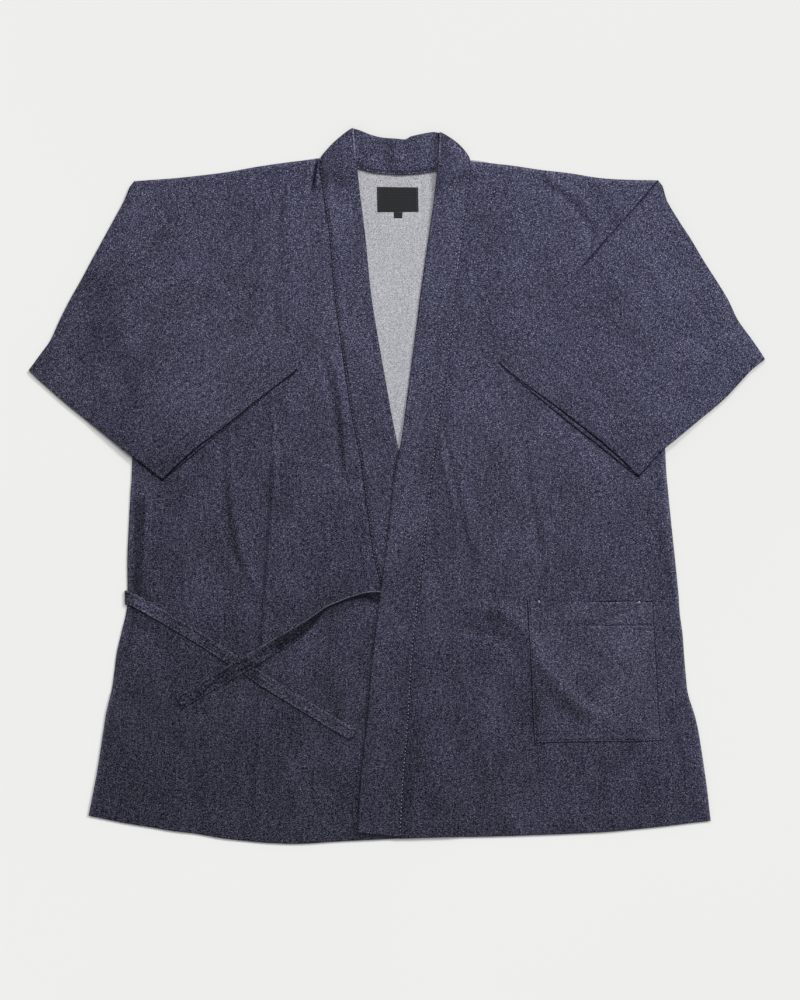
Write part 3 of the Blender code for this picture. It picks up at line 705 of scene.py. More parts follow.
def slanted_fold(seam, free, outward, bow):
    """Where the band turns over: rings from its upper layer round to its lower one."""
    outward = np.array(outward, float) / math.hypot(*outward)
    seam = np.array(seam, float) - outward * (BAND + FOLD_AIR)
    free = np.array(free, float) - outward * CORNER_REACH
    width = math.dist(seam, free)
    rings = []
    for angle in np.radians(np.linspace(75, -75, 8)):
        ring = []
        for distance, height in band_section(width):
            share = distance / width
            bulge = bow * math.sin(math.pi * share ** 0.8) - CORNER_CUT * max(0.0, (share - 0.88) / 0.12) ** 2
            out = (FOLD_AIR + height + bulge) * math.cos(angle) * (1 - CORNER_SLIM * share ** 6)
            place = seam + (free - seam) * share + outward * out
            ring.append((*place, FOLD_CENTRE + (FOLD_AIR + height) * math.sin(angle)))
        rings.append(ring)
    return seam, free, np.array(rings)


right_turn_seam, right_turn_free, right_turn = slanted_fold((-88, 371), (-50.5, 408), (-34, 37), 2.4)
left_turn_seam, left_turn_free, left_turn = slanted_fold((84, 369), (49.5, 403), (33, 36), 4.2)

even_shares = np.linspace(0, 1, 16)
neck_seam, neck_free = band_rows(
    at_share(smooth_line([tuple(right_turn_seam), *NECK_SEAM[1:-1], tuple(left_turn_seam)]), even_shares),
    at_share(smooth_line([tuple(right_turn_free), *COLLAR_TOP, tuple(left_turn_free)]), even_shares))
NECK_FOLDS = [
    ([(-34, 402), (-35, 380), (-33, 360)], 0.55, 11, 0.1),
    ([(-13, 399), (-14, 374), (-13, 350)], -1.0, 11, 0.1),
    ([(-2, 398), (-2, 376), (-1, 352)], 0.66, 8, 0.2),
    ([(15.5, 402), (10, 388), (4, 373)], -0.88, 4.5, 0.8),
    ([(30, 404), (30, 380), (27, 357)], 0.66, 11, 0.1),
]
NECK_AIR = 1.8
NECK_ARCH = 0.8
NECK_HOLLOW = 12.0
neck_rings = []
for a, b in zip(neck_seam, neck_free):
    width = math.dist(a, b)
    ring = []
    for distance, height in band_section(width):
        x, y = a + (b - a) * distance / width
        ring.append((x, y, BAND + BAND_PUFF - height))
    neck_rings.append(ring)
neck_rings = np.array(neck_rings)
neck_rise = at_least_none(NECK_AIR + all_folds(neck_rings[..., 0], neck_rings[..., 1], NECK_FOLDS))
from_right = np.arange(len(neck_rings))[:, None] * BAND_SPACING
from_left = from_right[::-1]
neck_rings[..., 2] += (neck_rise + NECK_ARCH) * (1 - np.exp(-(from_right / 9.0) ** 2)) * (
    1 - np.exp(-(from_left / NECK_HOLLOW) ** 2))
neck_outline = np.concatenate([neck_seam, neck_free[::-1]])
neck_top = BAND + BAND_PUFF + 0.4 * np.ones_like(pile)
lay_on_pile(neck_outline, neck_top)
under_bed = np.maximum(under_bed, np.where(inside(neck_outline, TABLE_X, TABLE_Y), neck_top, 0.0))


def under_lift(y, share):
    near_neck = np.clip((y - 250) / 150, 0, 1) ** 2
    return near_neck * (0.8 + 3.4 * share) + 0.15 * np.sin(y / 17) * share


def over_lift(y, share):
    near_neck = np.clip((y - 250) / 150, 0, 1) ** 2
    corner = np.clip((-375 - y) / 27, 0, 1) ** 2
    bare_edge = 0.35 * (1 + np.sin(y / 23 + 1.1 * np.sin(y / 61))) * np.clip((60 - y) / 60, 0, 1)
    low_edge = 2.0 * np.clip((40 - y) / 260, 0, 1)
    return near_neck * (0.8 + 8.5 * share ** 2) + share ** 3 * (0.9 + bare_edge + low_edge + 3.0 * corner)


LOW_CORNER_ROWS = 14
LOW_CORNER_RISE = 7.0
under_seam, under_free = band_rows(
    [tuple(right_turn_seam), *((seam, y) for y, seam, free in UNDER_RUN)],
    [tuple(right_turn_free), (-47.5, 383), *((free, y) for y, seam, free in UNDER_RUN[1:])])
under_rings = run_rings(under_seam, under_free, under_lift, draped(under_bed))
lay_on_pile(np.concatenate([under_seam, under_free[::-1]]),
            resting(draped(under_bed), TABLE_X, TABLE_Y) + BAND)
left_bed = pile.copy()
over_seam, over_free = band_rows(
    [tuple(left_turn_seam), *((seam, y) for y, seam, free in OVER_RUN)],
    [tuple(left_turn_free), (48, 383), *((free, y) for y, seam, free in OVER_RUN[1:])])
over_free[-LOW_CORNER_ROWS:, 1] += LOW_CORNER_RISE * np.linspace(0, 1, LOW_CORNER_ROWS) ** 1.5
over_rings = run_rings(over_seam, over_free, over_lift, draped(left_bed))
lay_on_pile(np.concatenate([over_seam, over_free[::-1]]), resting(draped(left_bed), TABLE_X, TABLE_Y) + BAND)


def band_piece(name, rings, wear_and_shade, material, node):
    """A closed band through rings of equal length, with flat ends."""
    count, size = rings.shape[:2]
    number = np.arange(count * size).reshape(count, size)
    faces = [face for first, second in zip(number, number[1:]) for face in faces_between(first, second)]
    faces += [tuple(number[0][::-1]), tuple(number[-1])]
    points = rings.reshape(-1, 3)
    middle = rings.mean(1)
    along = np.concatenate([[0.0], np.cumsum(np.linalg.norm(np.diff(middle, axis=0), axis=1))])
    round_it = np.concatenate([np.zeros((count, 1)), np.cumsum(np.linalg.norm(
        np.diff(rings, axis=1, append=rings[:, :1]), axis=2), axis=1)], 1)
    half = size // 2 + 1
    across = np.minimum(round_it[:, :size], round_it[:, half - 1:half] * 2 - round_it[:, :size])
    cut = np.stack([across, np.broadcast_to(along[:, None], across.shape)], -1).reshape(-1, 2)
    strips = 8 if along[-1] > 8 * round_it.max() else 1
    longest = along[-1] / strips * 1.02
    bake = []
    for first in range(count - 1):
        strip = min(strips - 1, int(along[first] / along[-1] * strips))
        bottom, top = along[first] - strip * along[-1] / strips, along[first + 1] - strip * along[-1] / strips
        for place in range(size):
            low = round_it[first, place] / round_it[:, size].max()
            high = round_it[first, place + 1] / round_it[:, size].max()
            for u, v in ((low, bottom), (high, bottom), (high, top), (low, top)):
                bake.append((0.01 + (strip + 0.94 * u) / strips * 0.98, 0.01 + 0.97 * v / longest))
    for end in (0, -1):
        flat = rings[end][:, [0, 2]] - rings[end][:, [0, 2]].min(0)
        bake += ((flat / max(flat.max(), 1) * 0.008) + (0.0 if end else 0.99, 0.985)).tolist()
    return finish_piece(name, points, faces, cut, [np.array(bake)], material, node, wear_and_shade)


def rim_wear_and_highlight(rings, rim, strength):
    """How pale a folded edge is painted, by wear and a painted highlight: most at its rim, less beside it."""
    wear_and_shade = np.zeros(rings.shape[:2])
    for offset, share in ((-2, 0.4), (-1, 1.0), (0, 0.8), (1, 0.2)):
        wear_and_shade[:, rim + offset] = strength * share
    return wear_and_shade


CORNER_WEAR_AND_HIGHLIGHT = 1.1
UNDER_SEAM_DARK = 0.5
OVER_SEAM_DARK = 0.3
collar_rings = np.concatenate([
    under_rings[::-1], right_turn, neck_rings[1:-1], left_turn[::-1], over_rings])
free_rim = len(SEAM_EDGE) + BAND_ACROSS - 2 + len(FREE_EDGE) - 1
front_part = np.ones(len(collar_rings))
front_part[len(under_rings):-len(over_rings)] = 0
# The free edges at the collar's corners are painted pale: wear along the fold, and a painted highlight where
# the raised edge catches the light.
near_fold = np.clip((collar_rings[:, free_rim, 1] - 362) / 20, 0, 1)
collar_wear_and_shade = rim_wear_and_highlight(collar_rings, free_rim, CORNER_WEAR_AND_HIGHLIGHT * front_part * near_fold)
# Painted shade: the seam's valley on both runs, and the hollows of the neck run beside its two
# corners, are darkened where shadow falls.
collar_wear_and_shade[:len(under_rings), 1:SEAM_STITCH + 1] -= UNDER_SEAM_DARK
collar_wear_and_shade[-len(over_rings):, 1:SEAM_STITCH + 1] -= OVER_SEAM_DARK
first_neck = len(under_rings) + len(right_turn)
collar_wear_and_shade[first_neck:first_neck + len(neck_rings) - 2] -= (
    0.9 * np.exp(-(from_right / 2.6) ** 2) + 0.8 * np.exp(-(from_left / 7.5) ** 2))[1:-1]
collar = band_piece("collar_band", collar_rings, collar_wear_and_shade, right_side_out, "collar")

# The over front: the other panel, with its pocket. It lies across the under run of the collar, and
# its front edge is sewn into the over run.
LEFT_FOLDS = [
    ([(155, 352), (180, 335), (203, 316), (216, 296), (225, 270)], -0.91, 8, 0.5),
    ([(160, 356), (192, 338), (216, 318), (230, 292)], 0.8, 11, 0.2),
    ([(226, 352), (240, 330), (250, 306)], 0.49, 12, 0.2),
    ([(110, 362), (108, 330), (112, 290)], 0.49, 12, 0.3),
    ([(46, 74), (52, 40), (60, 0), (68, -40)], 1.38, 6, 0.6),
    ([(52, 70), (58, 36), (67, -4), (76, -50), (86, -100)], -1.12, 7, 0.6),
    ([(70, 10), (77, -30), (88, -74)], 0.76, 8, 0.5),
    ([(150, 60), (154, 23), (160, -16), (170, -66), (172, -112), (160, -176)], 0.8, 10, 0.9),
    ([(143, 55), (147, 20), (153, -20), (162, -70), (163, -112)], -0.76, 8, 0.5),
    ([(165, -230), (164, -294), (168, -380)], 0.61, 10, 0.6),
    ([(70, -140), (122, -146), (152, -176), (172, -214), (205, -250), (244, -272)], 1.28, 16, 0.2),
    ([(60, -164), (112, -172), (140, -205), (152, -235), (158, -280), (164, -350)], -0.8, 11, 0.3),
    ([(226, -160), (238, -188), (254, -214)], 0.49, 12, 0.3),
    ([(92, -30), (95, -140), (100, -260), (104, -392)], 0.43, 16, 0.2),
    ([(236, -292), (240, -340), (246, -388)], 0.55, 12, 0.3),
    ([(205, -296), (206, -340), (212, -388)], -0.49, 10, 0.3),
    ([(120, -290), (122, -340), (128, -394)], 0.49, 12, 0.3),
    ([(300, -40), (312, -90), (320, -135), (322, -160)], 1.0, 9, 0.4),
    ([(136, 26), (154, 40), (174, 48)], 0.5, 5, 0.7),
    ([(313, -236), (323, -280), (334, -330)], 1.0, 9, 0.4),
    ([(60, -240), (64, -320), (60, -394)], 0.43, 12, 0.3),
]
left_seam = smooth_line([
    (84 - SEAM_TUCK, 370), *((seam - SEAM_TUCK, y) for y, seam, free in OVER_RUN[1:-1]),
    (5 - SEAM_TUCK, -402)])
left_shoulder = smooth_line([tuple(left_seam[0]), *LEFT_SHOULDER[1:]])
left_hem = smooth_line([tuple(left_seam[-1]), *(spot for spot in HEM[:-1] if spot[0] > 10), LEFT_SIDE[-1]])
left_side = smooth_line(LEFT_SIDE)
left_x, left_y, edge = panel_plan(left_shoulder, left_hem, left_seam, left_side, FRONT_STEP)


def left_rise(x, y):
    waves = soft_waves(x, y, 23, 0.2, 60, 170)
    return at_least_none(FRONT_AIR + waves + all_folds(x, y, LEFT_FOLDS))


bed = draped(left_bed)
turned_down = rolled(edge["top"]) * np.where((left_y > VENT_TOP), rolled(edge["end"]), 1.0)
ease = np.clip(edge["start"] / 12, 0, 1)
left_low = (resting(bed, left_x, left_y) + left_rise(left_x, left_y) * ease) * turned_down
left_top = left_low + hem_layers(edge["bottom"])
left_front = panel_piece("over_front_panel", left_x, left_y, left_low, left_top, right_side_out,
                         "left_front", fold_wear_and_highlight(edge["top"], edge["end"]))
left_outline = np.concatenate([left_shoulder, left_side, left_hem[::-1], left_seam[::-1]])
lay_on_pile(left_outline, resting(bed, TABLE_X, TABLE_Y) + left_rise(TABLE_X, TABLE_Y) + CLOTH)

# The sleeves: two short tapered tubes, sewn into the armholes and swung down beside the body. Each
# lies flat in two layers, with its top fold outside and its underarm seam over the body.
SLEEVE_AIR = 0.7
SLEEVE_SLOPE = 0.07
CUFF_HEM = 46.0
RIGHT_SLEEVE = {
    "fold": [(-299, 347), (-310, 325.5), (-322.5, 302.7), (-335, 280), (-347.6, 257), (-360, 234),
             (-372.7, 211.5), (-384.5, 188), (-394.5, 166), (-403, 154), (-411, 143), (-419.5, 131.5)],
    "cuff": [(-419.5, 131.5), (-407.3, 120), (-381.8, 97.5), (-353.9, 74.7), (-325.6, 52), (-311.2, 40.5),
             (-266.5, 5.5)],
    "underarm": [(-113, 132), (-150, 102), (-190, 69), (-230, 36), (-266.5, 5.5)],
    "armhole": [(-299, 347), (-262, 305), (-210, 244), (-160, 186), (-113, 132)],
}
LEFT_SLEEVE = {
    "fold": [(297, 348), (306.8, 325.5), (320.4, 302.7), (335.3, 280), (349, 257), (363.8, 234),
             (377.5, 211.5), (388.5, 188.7), (404.8, 166), (412.8, 154.5), (419.5, 144)],
    "cuff": [(419.5, 144), (404, 131.7), (393, 120), (371.8, 97.5), (344.4, 74.7), (317, 52), (303, 40.5),
             (275, 9)],
    "underarm": [(115.5, 139.5), (150, 109), (190, 76), (232, 43), (275, 9)],
    "armhole": [(297, 348), (262, 308), (208, 247), (160, 192), (115.5, 139.5)],
}
SLEEVE_NEAR = (0.0, 0.25, 0.7, 1.2, 1.9, 3.2)
SLEEVE_FAR = (0.0, 0.25, 0.6, 1.0, 1.5, 2.0, 2.5, 3.0, 3.5, 4.0, 4.5, 5.0, 5.6, 6.4, 7.5)
SLEEVE_TOP = (0.0, 0.5, 1.1, 1.8, 2.8)
SLEEVE_CUFF = (0.0, 0.4, 1.2, 2.2)
SLEEVE_SPACING = 2.8
ARMHOLE_STEP = 6.0
# How far each sleeve steps up at its armhole seam, how much painted shade darkens that seam, and the turn of
# the grain
RIGHT_STEP = 0.08
LEFT_STEP = 0.55
RIGHT_SHADE = 0.0
LEFT_SHADE = 0.9
SLEEVE_GRAIN = 50.7
ARMHOLE_SLOPE = 150.0
# How far the underarm seam is rolled onto the upper layer, along it from the armhole to the cuff
RIGHT_ROLL = (0.7, 1.4, 2.0, 2.0, 2.2, 4.0, 3.2, 0.8)
LEFT_ROLL = (0.7, 1.9, 3.8, 5.2, 5.6, 5.4, 4.0, 0.8)


def tube_piece(name, outer, inner, cut, wear_and_shade, material, node):
    """An open tube of cloth from two skins of rings, which meet at both ends."""
    count, size = outer.shape[:2]
    number = np.arange(count * size).reshape(count, size)
    lining = number + count * size
    lining[0], lining[-1] = number[0], number[-1]
    faces, bake = [], []
    points = np.concatenate([outer.reshape(-1, 3), inner.reshape(-1, 3)])
    span = outer[..., :2].reshape(-1, 2)
    low_corner, largest = span.min(0), np.ptp(span, axis=0).max() * 2.08
    half = size // 2
    for skin, numbers in ((0, number), (1, lining)):
        for first, second in zip(numbers, numbers[1:]):
            pairs = faces_between(first, second)
            faces += pairs if skin == 0 else [face[::-1] for face in pairs]
    for index, face in enumerate(faces):
        skin = index >= (count - 1) * size
        under = index % size >= half
        spot = (points[list(face), :2] - low_corner) / largest + 0.008
        bake.append(spot + (0.5 * under, 0.5 * skin))
    used = np.zeros(len(points), bool)
    used[np.concatenate([np.array(face) for face in faces])] = True
    renumber = np.cumsum(used) - 1
    faces = [tuple(int(renumber[n]) for n in face) for face in faces]
    cut_used = np.concatenate([cut, cut])[used]
    wear_and_shade_used = np.concatenate([wear_and_shade, 0 * wear_and_shade])[used]
    return finish_piece(name, points[used], faces, cut_used, bake, material, node, wear_and_shade_used)


def smooth_step(value):
    value = np.clip(value, 0, 1)
    return value * value * (3 - 2 * value)


def make_sleeve(name, lines, roll, step, armhole_shade, folds, seed, grain):
    """A sleeve's two layers as one tube, open at the armhole and the cuff."""
    fold, cuff, underarm, armhole = (
        smooth_line(lines[key]) for key in ("fold", "cuff", "underarm", "armhole"))
    x, y, edge = panel_plan(armhole, cuff, fold, underarm, SLEEVE_SPACING, SLEEVE_NEAR, SLEEVE_FAR,
                            SLEEVE_TOP, SLEEVE_CUFF)
    waves = soft_waves(x, y, seed, 0.15, 70, 160, grain)
    rise = at_least_none(0.5 + waves + all_folds(x, y, folds))
    near_edge = np.minimum(edge["start"], edge["end"])
    full = np.clip(near_edge / 9.0, 0, 1)
    down = edge["top"] / (edge["top"] + edge["bottom"])
    from_seam = edge["end"] - np.interp(down, np.linspace(0, 1, len(roll)), roll)
    seam_step = 1.2 / (1 + np.exp(-from_seam / 0.25)) - 1.7 * np.exp(-((from_seam + 0.2) / 0.6) ** 2)
    cuff_line = edge["bottom"] - CUFF_HEM
    cuff_band = 0.15 / (1 + np.exp(cuff_line / 1.5)) - 0.15 * np.exp(-(cuff_line / 1.2) ** 2)
    along_seam = edge["start"] / (edge["start"] + edge["end"])
    step = step * (1 - smooth_step((along_seam - 0.35) / 0.25))
    at_seam = (step * smooth_step(edge["top"] / ARMHOLE_STEP)
               + (1 - step) * smooth_step(edge["top"] / ARMHOLE_SLOPE))
    wall = CLOTH * (0.45 + 0.55 * at_seam)
    air = (SLEEVE_AIR + (rise + cuff_band) * full + seam_step) * at_seam
    height = CLOTH * at_seam + air + wall
    middle = resting(draped(pile, 6.0, SLEEVE_SLOPE, 34), x, y) + height / 2
    outside = rolled(near_edge, 1.2)
    inside_it = rolled(near_edge - CLOTH, 0.7)
    top_outer = middle + height / 2 * outside
    low_outer = middle - height / 2 * outside
    top_inner = middle + (height / 2 - wall) * inside_it
    low_inner = middle - (height / 2 - CLOTH * at_seam) * inside_it
    # The lower layer stops short of the armhole seam, under the upper one.
    tuck = 9.0 * (1 - np.clip(edge["top"] / 30, 0, 1))
    away = cuff.mean(0) - armhole.mean(0)
    away /= np.hypot(*away)
    toward = (underarm[0] - fold[0]) / np.hypot(*(underarm[0] - fold[0]))

    def ring(z_up, z_down, inset):
        push = np.clip(inset - edge["start"], 0, None) - np.clip(inset - edge["end"], 0, None)
        px, py = x + toward[0] * push, y + toward[1] * push
        upper = np.stack([px, py, z_up], -1)
        lower = np.stack([px + away[0] * tuck, py + away[1] * tuck, z_down], -1)[:, -2:0:-1]
        return np.concatenate([upper, lower], 1)

    outer = ring(top_outer, low_outer, 0.0)
    inner = ring(top_inner, low_inner, CLOTH)
    turn = math.radians(grain)
    flat = outer[..., :2].reshape(-1, 2)
    cut = np.stack([flat[:, 0] * math.cos(turn) + flat[:, 1] * math.sin(turn),
                    flat[:, 1] * math.cos(turn) - flat[:, 0] * math.sin(turn)], -1)
    # Painted shade: the valleys of the underarm seams, the upper armhole seam and the cuff's edge over the
    # body are darkened where shadow falls.
    seam_and_cuff_shade = np.maximum(np.exp(-((from_seam + 0.2) / 0.7) ** 2), 0.8 * np.exp(-(edge["end"] / 0.7) ** 2))
    seam_and_cuff_shade += armhole_shade * np.exp(-(edge["top"] / 1.3) ** 2) * (1 - smooth_step((along_seam - 0.4) / 0.2))
    seam_and_cuff_shade += np.exp(-(edge["bottom"] / 1.2) ** 2) * smooth_step((48 - edge["end"]) / 8)
    wear_and_shade = np.concatenate([-seam_and_cuff_shade, np.zeros((len(x), outer.shape[1] - x.shape[1]))], 1).ravel()
    return tube_piece(name + "_tube", outer, inner, cut, wear_and_shade, right_side_out, name)


RIGHT_SLEEVE_FOLDS = [
    ([(-250, 306), (-280, 290), (-312, 266)], 0.71, 8, 0.5),
    ([(-330, 250), (-318, 200), (-300, 140), (-282, 60)], 0.5, 18, 0.2),
    ([(-228, 256), (-236, 206), (-246, 150)], 0.5, 12, 0.3),
    ([(-380, 170), (-350, 140), (-320, 90)], 0.45, 14, 0.2),
    ([(-196, 226), (-194, 205), (-196, 182)], -0.62, 6, 0.6),
]
LEFT_SLEEVE_FOLDS = [
    ([(292, 250), (300, 214), (310, 180)], 0.79, 9, 0.5),
    ([(352, 240), (360, 205), (364, 180)], 0.5, 10, 0.4),
    ([(330, 150), (312, 120), (288, 60)], 0.5, 18, 0.2),
    ([(244, 250), (232, 190), (240, 120)], 0.5, 14, 0.2),
    ([(386, 170), (356, 150), (318, 100)], 0.45, 14, 0.2),
]
right_sleeve = make_sleeve("right_sleeve", RIGHT_SLEEVE, RIGHT_ROLL, RIGHT_STEP, RIGHT_SHADE,
                           RIGHT_SLEEVE_FOLDS, 31, -SLEEVE_GRAIN)
left_sleeve = make_sleeve("left_sleeve", LEFT_SLEEVE, LEFT_ROLL, LEFT_STEP, LEFT_SHADE,
                          LEFT_SLEEVE_FOLDS, 37, SLEEVE_GRAIN)


# The pocket: a patch of denim with a deep hem at its open top, its other edges turned in and
# topstitched to the over front.
POCKET_HEM = 28.5
POCKET_TURN = 7.0
POCKET_STEP = 2.2
pocket_top = smooth_line([
    (148, -130.6), (172, -130.9), (200, -130.3), (236, -131.4), (262, -130.8), (291.5, -131.2)])
pocket_foot = smooth_line([(156.3, -293.6), (190, -293.0), (228, -292.2), (264, -292.4), (301, -290.8)])
pocket_right = smooth_line([(148, -130.6), (150.2, -170), (153, -220), (154.6, -262), (156.3, -293.6)])
pocket_left = smooth_line([(291.5, -131.2), (293.6, -168), (296.4, -214), (298.4, -255), (301, -290.8)])
POCKET_TOP_ROWS = (0.0, 0.35, 0.8, 1.4, 2.0, 3.0, *np.arange(5.0, 27.0, 2.0), 27.6, 28.1, 28.5, 28.9, 29.4)
POCKET_SIDE = (0.0, 0.35, 0.9, 1.5, 2.0, 2.5, 3.2)
pocket_x, pocket_y, edge = panel_plan(pocket_top, pocket_foot, pocket_right, pocket_left, POCKET_STEP,
                                      POCKET_SIDE, POCKET_SIDE, POCKET_TOP_ROWS, POCKET_SIDE)
sewn = np.minimum(np.minimum(edge["start"], edge["end"]), edge["bottom"])
gape = 0.3 * np.exp(-edge["top"] / 5) * np.clip(np.minimum(edge["start"], edge["end"]) / 40, 0, 1)
POCKET_FOLDS = [
    ([(222, -160), (248, -149), (280, -138)], -0.8, 4.5, 0.6),
    ([(228, -164), (242, -190), (262, -220)], -0.7, 5, 0.6),
]
waves = soft_waves(pocket_x, pocket_y, 41, 0.12, 45, 70) + all_folds(pocket_x, pocket_y, POCKET_FOLDS)
puff = at_least_none(0.8 + waves) * np.clip(sewn / 14, 0, 1)
pucker = 0.16 * np.sin(pocket_x / 1.9 + pocket_y / 2.3) * np.exp(-sewn / 4)


def groove(distance, place, depth, width):
    """The valley that a row of stitches pulls in the cloth."""
    return -depth * np.exp(-((distance - place) / width) ** 2)


pocket_low = sample(pile, pocket_x, pocket_y) + 0.15 + gape + puff
layers = (CLOTH + 0.35 / (1 + np.exp((sewn - POCKET_TURN) / 0.8))
          + 0.4 / (1 + np.exp((edge["top"] - POCKET_HEM) / 0.7)))
half_open = np.clip((pocket_x - 205) / 30, 0, 1)
seams = (np.maximum(pucker, -0.1) + groove(edge["top"], POCKET_HEM, 0.1 + 0.3 * half_open, 0.6)
         + groove(sewn, 2.0, 0.4, 0.6) + groove(edge["top"], 1.4, 0.8 * half_open, 0.6))
pocket_high = pocket_low + 0.25 + (layers - 0.25 + seams) * np.clip(sewn / 1.6, 0, 1) ** 0.8
# Painted shade: the pocket's mouth, most in its right half, and its sewn edges are darkened where shadow
# falls; the rest of the patch is a shade paler.
pocket_tone_and_shade = (0.1 - (0.3 + 0.7 * half_open) * np.exp(-(edge["top"] / 1.1) ** 2)
               - 0.7 * np.exp(-(sewn / 0.8) ** 2))
pocket = panel_piece("pocket_patch", pocket_x, pocket_y, pocket_low, pocket_high, right_side_out,
                     "pocket", pocket_tone_and_shade)

# Sewing thread: spun polyester, paler than the cloth in some rows and darker in others. The real
# thread is 0.3 mm thick, too fine to show here, so it is drawn 0.45 to 1 mm thick. The darkest rows
# are mostly painted shade: the shadow in stitch holes and seam valleys and along the pocket's mouth,
# drawn as dark thread.


def thread_material(name, dark, light):
    """Spun polyester thread: soft and nearly matt, with twisted plies."""
    material, output = new_material(name)
    tree = material.node_tree
    place = add_node(tree, "ShaderNodeTexCoord")
    plies = add_node(tree, "ShaderNodeTexNoise", {"Scale": 900.0, "Detail": 1.0},
                     {"Vector": place.outputs["Object"]})
    shade = add_node(tree, "ShaderNodeValToRGB", links={"Fac": plies.outputs["Fac"]},
                     stops=[(0.3, linear(dark)), (0.7, linear(light))])
    bump = add_node(tree, "ShaderNodeBump", {"Strength": 0.3, "Distance": 0.1 * MM},
                    {"Height": plies.outputs["Fac"]})
    spun = add_node(tree, "ShaderNodeBsdfPrincipled", {"Roughness": 0.65, "Sheen Weight": 0.2},
                    {"Base Color": shade.outputs["Color"], "Normal": bump.outputs["Normal"]})
    tree.links.new(spun.outputs["BSDF"], output.inputs["Surface"])
    return material


pale_thread = thread_material("pale blue spun thread", "#A0A3B8", "#DADDEE")
soft_thread = thread_material("soft blue spun thread", "#686B82", "#A6A9BE")
seam_thread = thread_material("light blue spun thread", "#8E93BA", "#CCD1F0")
navy_thread = thread_material("navy spun thread", "#3C3F55", "#7C8098")
dark_thread_and_shade = thread_material("dark navy thread and painted stitch shade", "#131422", "#2C2E44")


def stitches(name, lines, material, seed, length, pitch, thick, shift=0.5):
    """Rows of stitches along lines on the cloth: each a short spindle with its ends sunk in."""
    dice = np.random.default_rng(seed)
    points, faces = [], []
    for line in lines:
        total = line_length(line)
        for start in np.arange(pitch * shift, total - length, pitch):
            first = start + dice.uniform(-0.25, 0.25)
            a, b, middle = at_share(line, np.array([first, first + length, first + length / 2]) / total)
            ahead = (b - a) / max(np.linalg.norm(b - a), 1e-6)
            aside = np.cross(ahead, (0, 0, 1)) * thick / 2
            base = len(points)
            up = np.array((0, 0, thick * 0.35))
            points += [a - up / 3, middle + aside + up, middle + 2.6 * up, middle - aside + up, middle - up,
                       b - up / 3]
            for one, two in ((1, 2), (2, 3), (3, 4), (4, 1)):
                faces += [(base, base + two, base + one), (base + 5, base + one, base + two)]
    mesh = bpy.data.meshes.new(name)
    mesh.from_pydata((np.array(points) * MM).tolist(), [], faces)
    mesh.shade_smooth()
    mesh.materials.append(material)
    rows = bpy.data.objects.new(name, mesh)
    bpy.context.scene.collection.objects.link(rows)
    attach(rows, "root")
    return rows


def grid_line(x, y, z, edge_distance, place):
    """The line on a grid's top at one distance from its near edge, row by row."""
    found = []
    for xs, ys, zs, distances in zip(x, y, z, edge_distance):
        order = np.argsort(distances)
        found.append([np.interp(place, distances[order], values[order]) for values in (xs, ys, zs)])
    return np.array(found)


def between(line, first, last):
    """The part of a line between two distances along it, the last counted from its end."""
    total = line_length(line)
    return at_share(line, np.linspace(first / total, 1 - last / total, max(2, int(total / 2))))


pocket_grid = pocket_x, pocket_y, pocket_high
flipped = [values.T for values in pocket_grid]
pocket_sides = [
    grid_line(*pocket_grid, edge["start"], 2.0), grid_line(*pocket_grid, edge["end"], 2.0),
    between(grid_line(*flipped, edge["bottom"].T, 2.0), 2, 2),
]
pocket_hem = between(grid_line(*flipped, edge["top"].T, POCKET_HEM), 70, 2)
pocket_mouth = between(grid_line(*flipped, edge["top"].T, 1.4), 46, 8)
pocket_thread = stitches("pocket_thread", pocket_sides, soft_thread, 51, 1.7, 4.0, 0.5)
# Dark rows between the pale stitches, under the pocket's hem stitch and along its mouth: partly dark thread,
# mostly painted shade of the stitch holes and of the mouth's gap.
pocket_dark_thread_and_shade = stitches("pocket_dark_thread_and_shade", [*pocket_sides, pocket_hem, pocket_mouth], dark_thread_and_shade,
                              54, 2.4, 4.0, 0.5, 1.0)
BAR_TACKS = [(161.8, -132.0), (275.8, -132.4)]
TACK_HALF = 2.0
tack_lines = []
for tack_x, tack_y in BAR_TACKS:
    nearest = np.argmin(np.hypot(pocket_x - tack_x, pocket_y - tack_y))
    height = pocket_high.ravel()[nearest] + 0.1
    for step in (-0.7, 0.0, 0.7):
        tack_lines.append(np.array([
            (tack_x - TACK_HALF, tack_y + step, height), (tack_x + TACK_HALF, tack_y + step, height)]))
bar_tack_thread = stitches("bar_tack_thread", tack_lines, pale_thread, 55, 3.6, 4.0, 0.9, 0.02)
collar_lines = [rings[4:-1, SEAM_STITCH] + (0, 0, 0.1) for rings in (under_rings, over_rings)]
# Painted highlight: between y 241 and 282 mm a second, paler row lies on the over run's seam stitches, where
# they catch the light.
bare_run = over_rings[:, SEAM_STITCH] + (0, 0, 0.1)
bare_run = bare_run[(bare_run[:, 1] < 282) & (bare_run[:, 1] > 241)]
collar_thread = stitches("collar_thread", collar_lines[:1], soft_thread, 53, 1.7, 4.3, 0.9)
over_thread = stitches("over_collar_thread", collar_lines[1:], seam_thread, 58, 1.8, 4.3, 0.95)
collar_stitch_highlight = stitches("collar_stitch_highlight", [bare_run], pale_thread, 57, 2.0, 4.3, 1.0)
# Painted shade: a dark row between the pale stitches of the under run's seam, standing for the shadow in the
# stitch holes.
collar_stitch_shade = stitches("collar_stitch_shade", collar_lines[:1], dark_thread_and_shade, 56, 2.2, 4.3, 0.45, 0.88)

# The label and its size tab: black woven ribbon, bare, sewn to the back under the neck seam. Its
# ends are turned under, and a rib in the weave catches a little light.
RIBBON = 0.5
RIBBON_EDGE = (0.0, 0.3, 1.0)
RIBBON_STEP = 1.3
RIBBON_AIR = 0.12


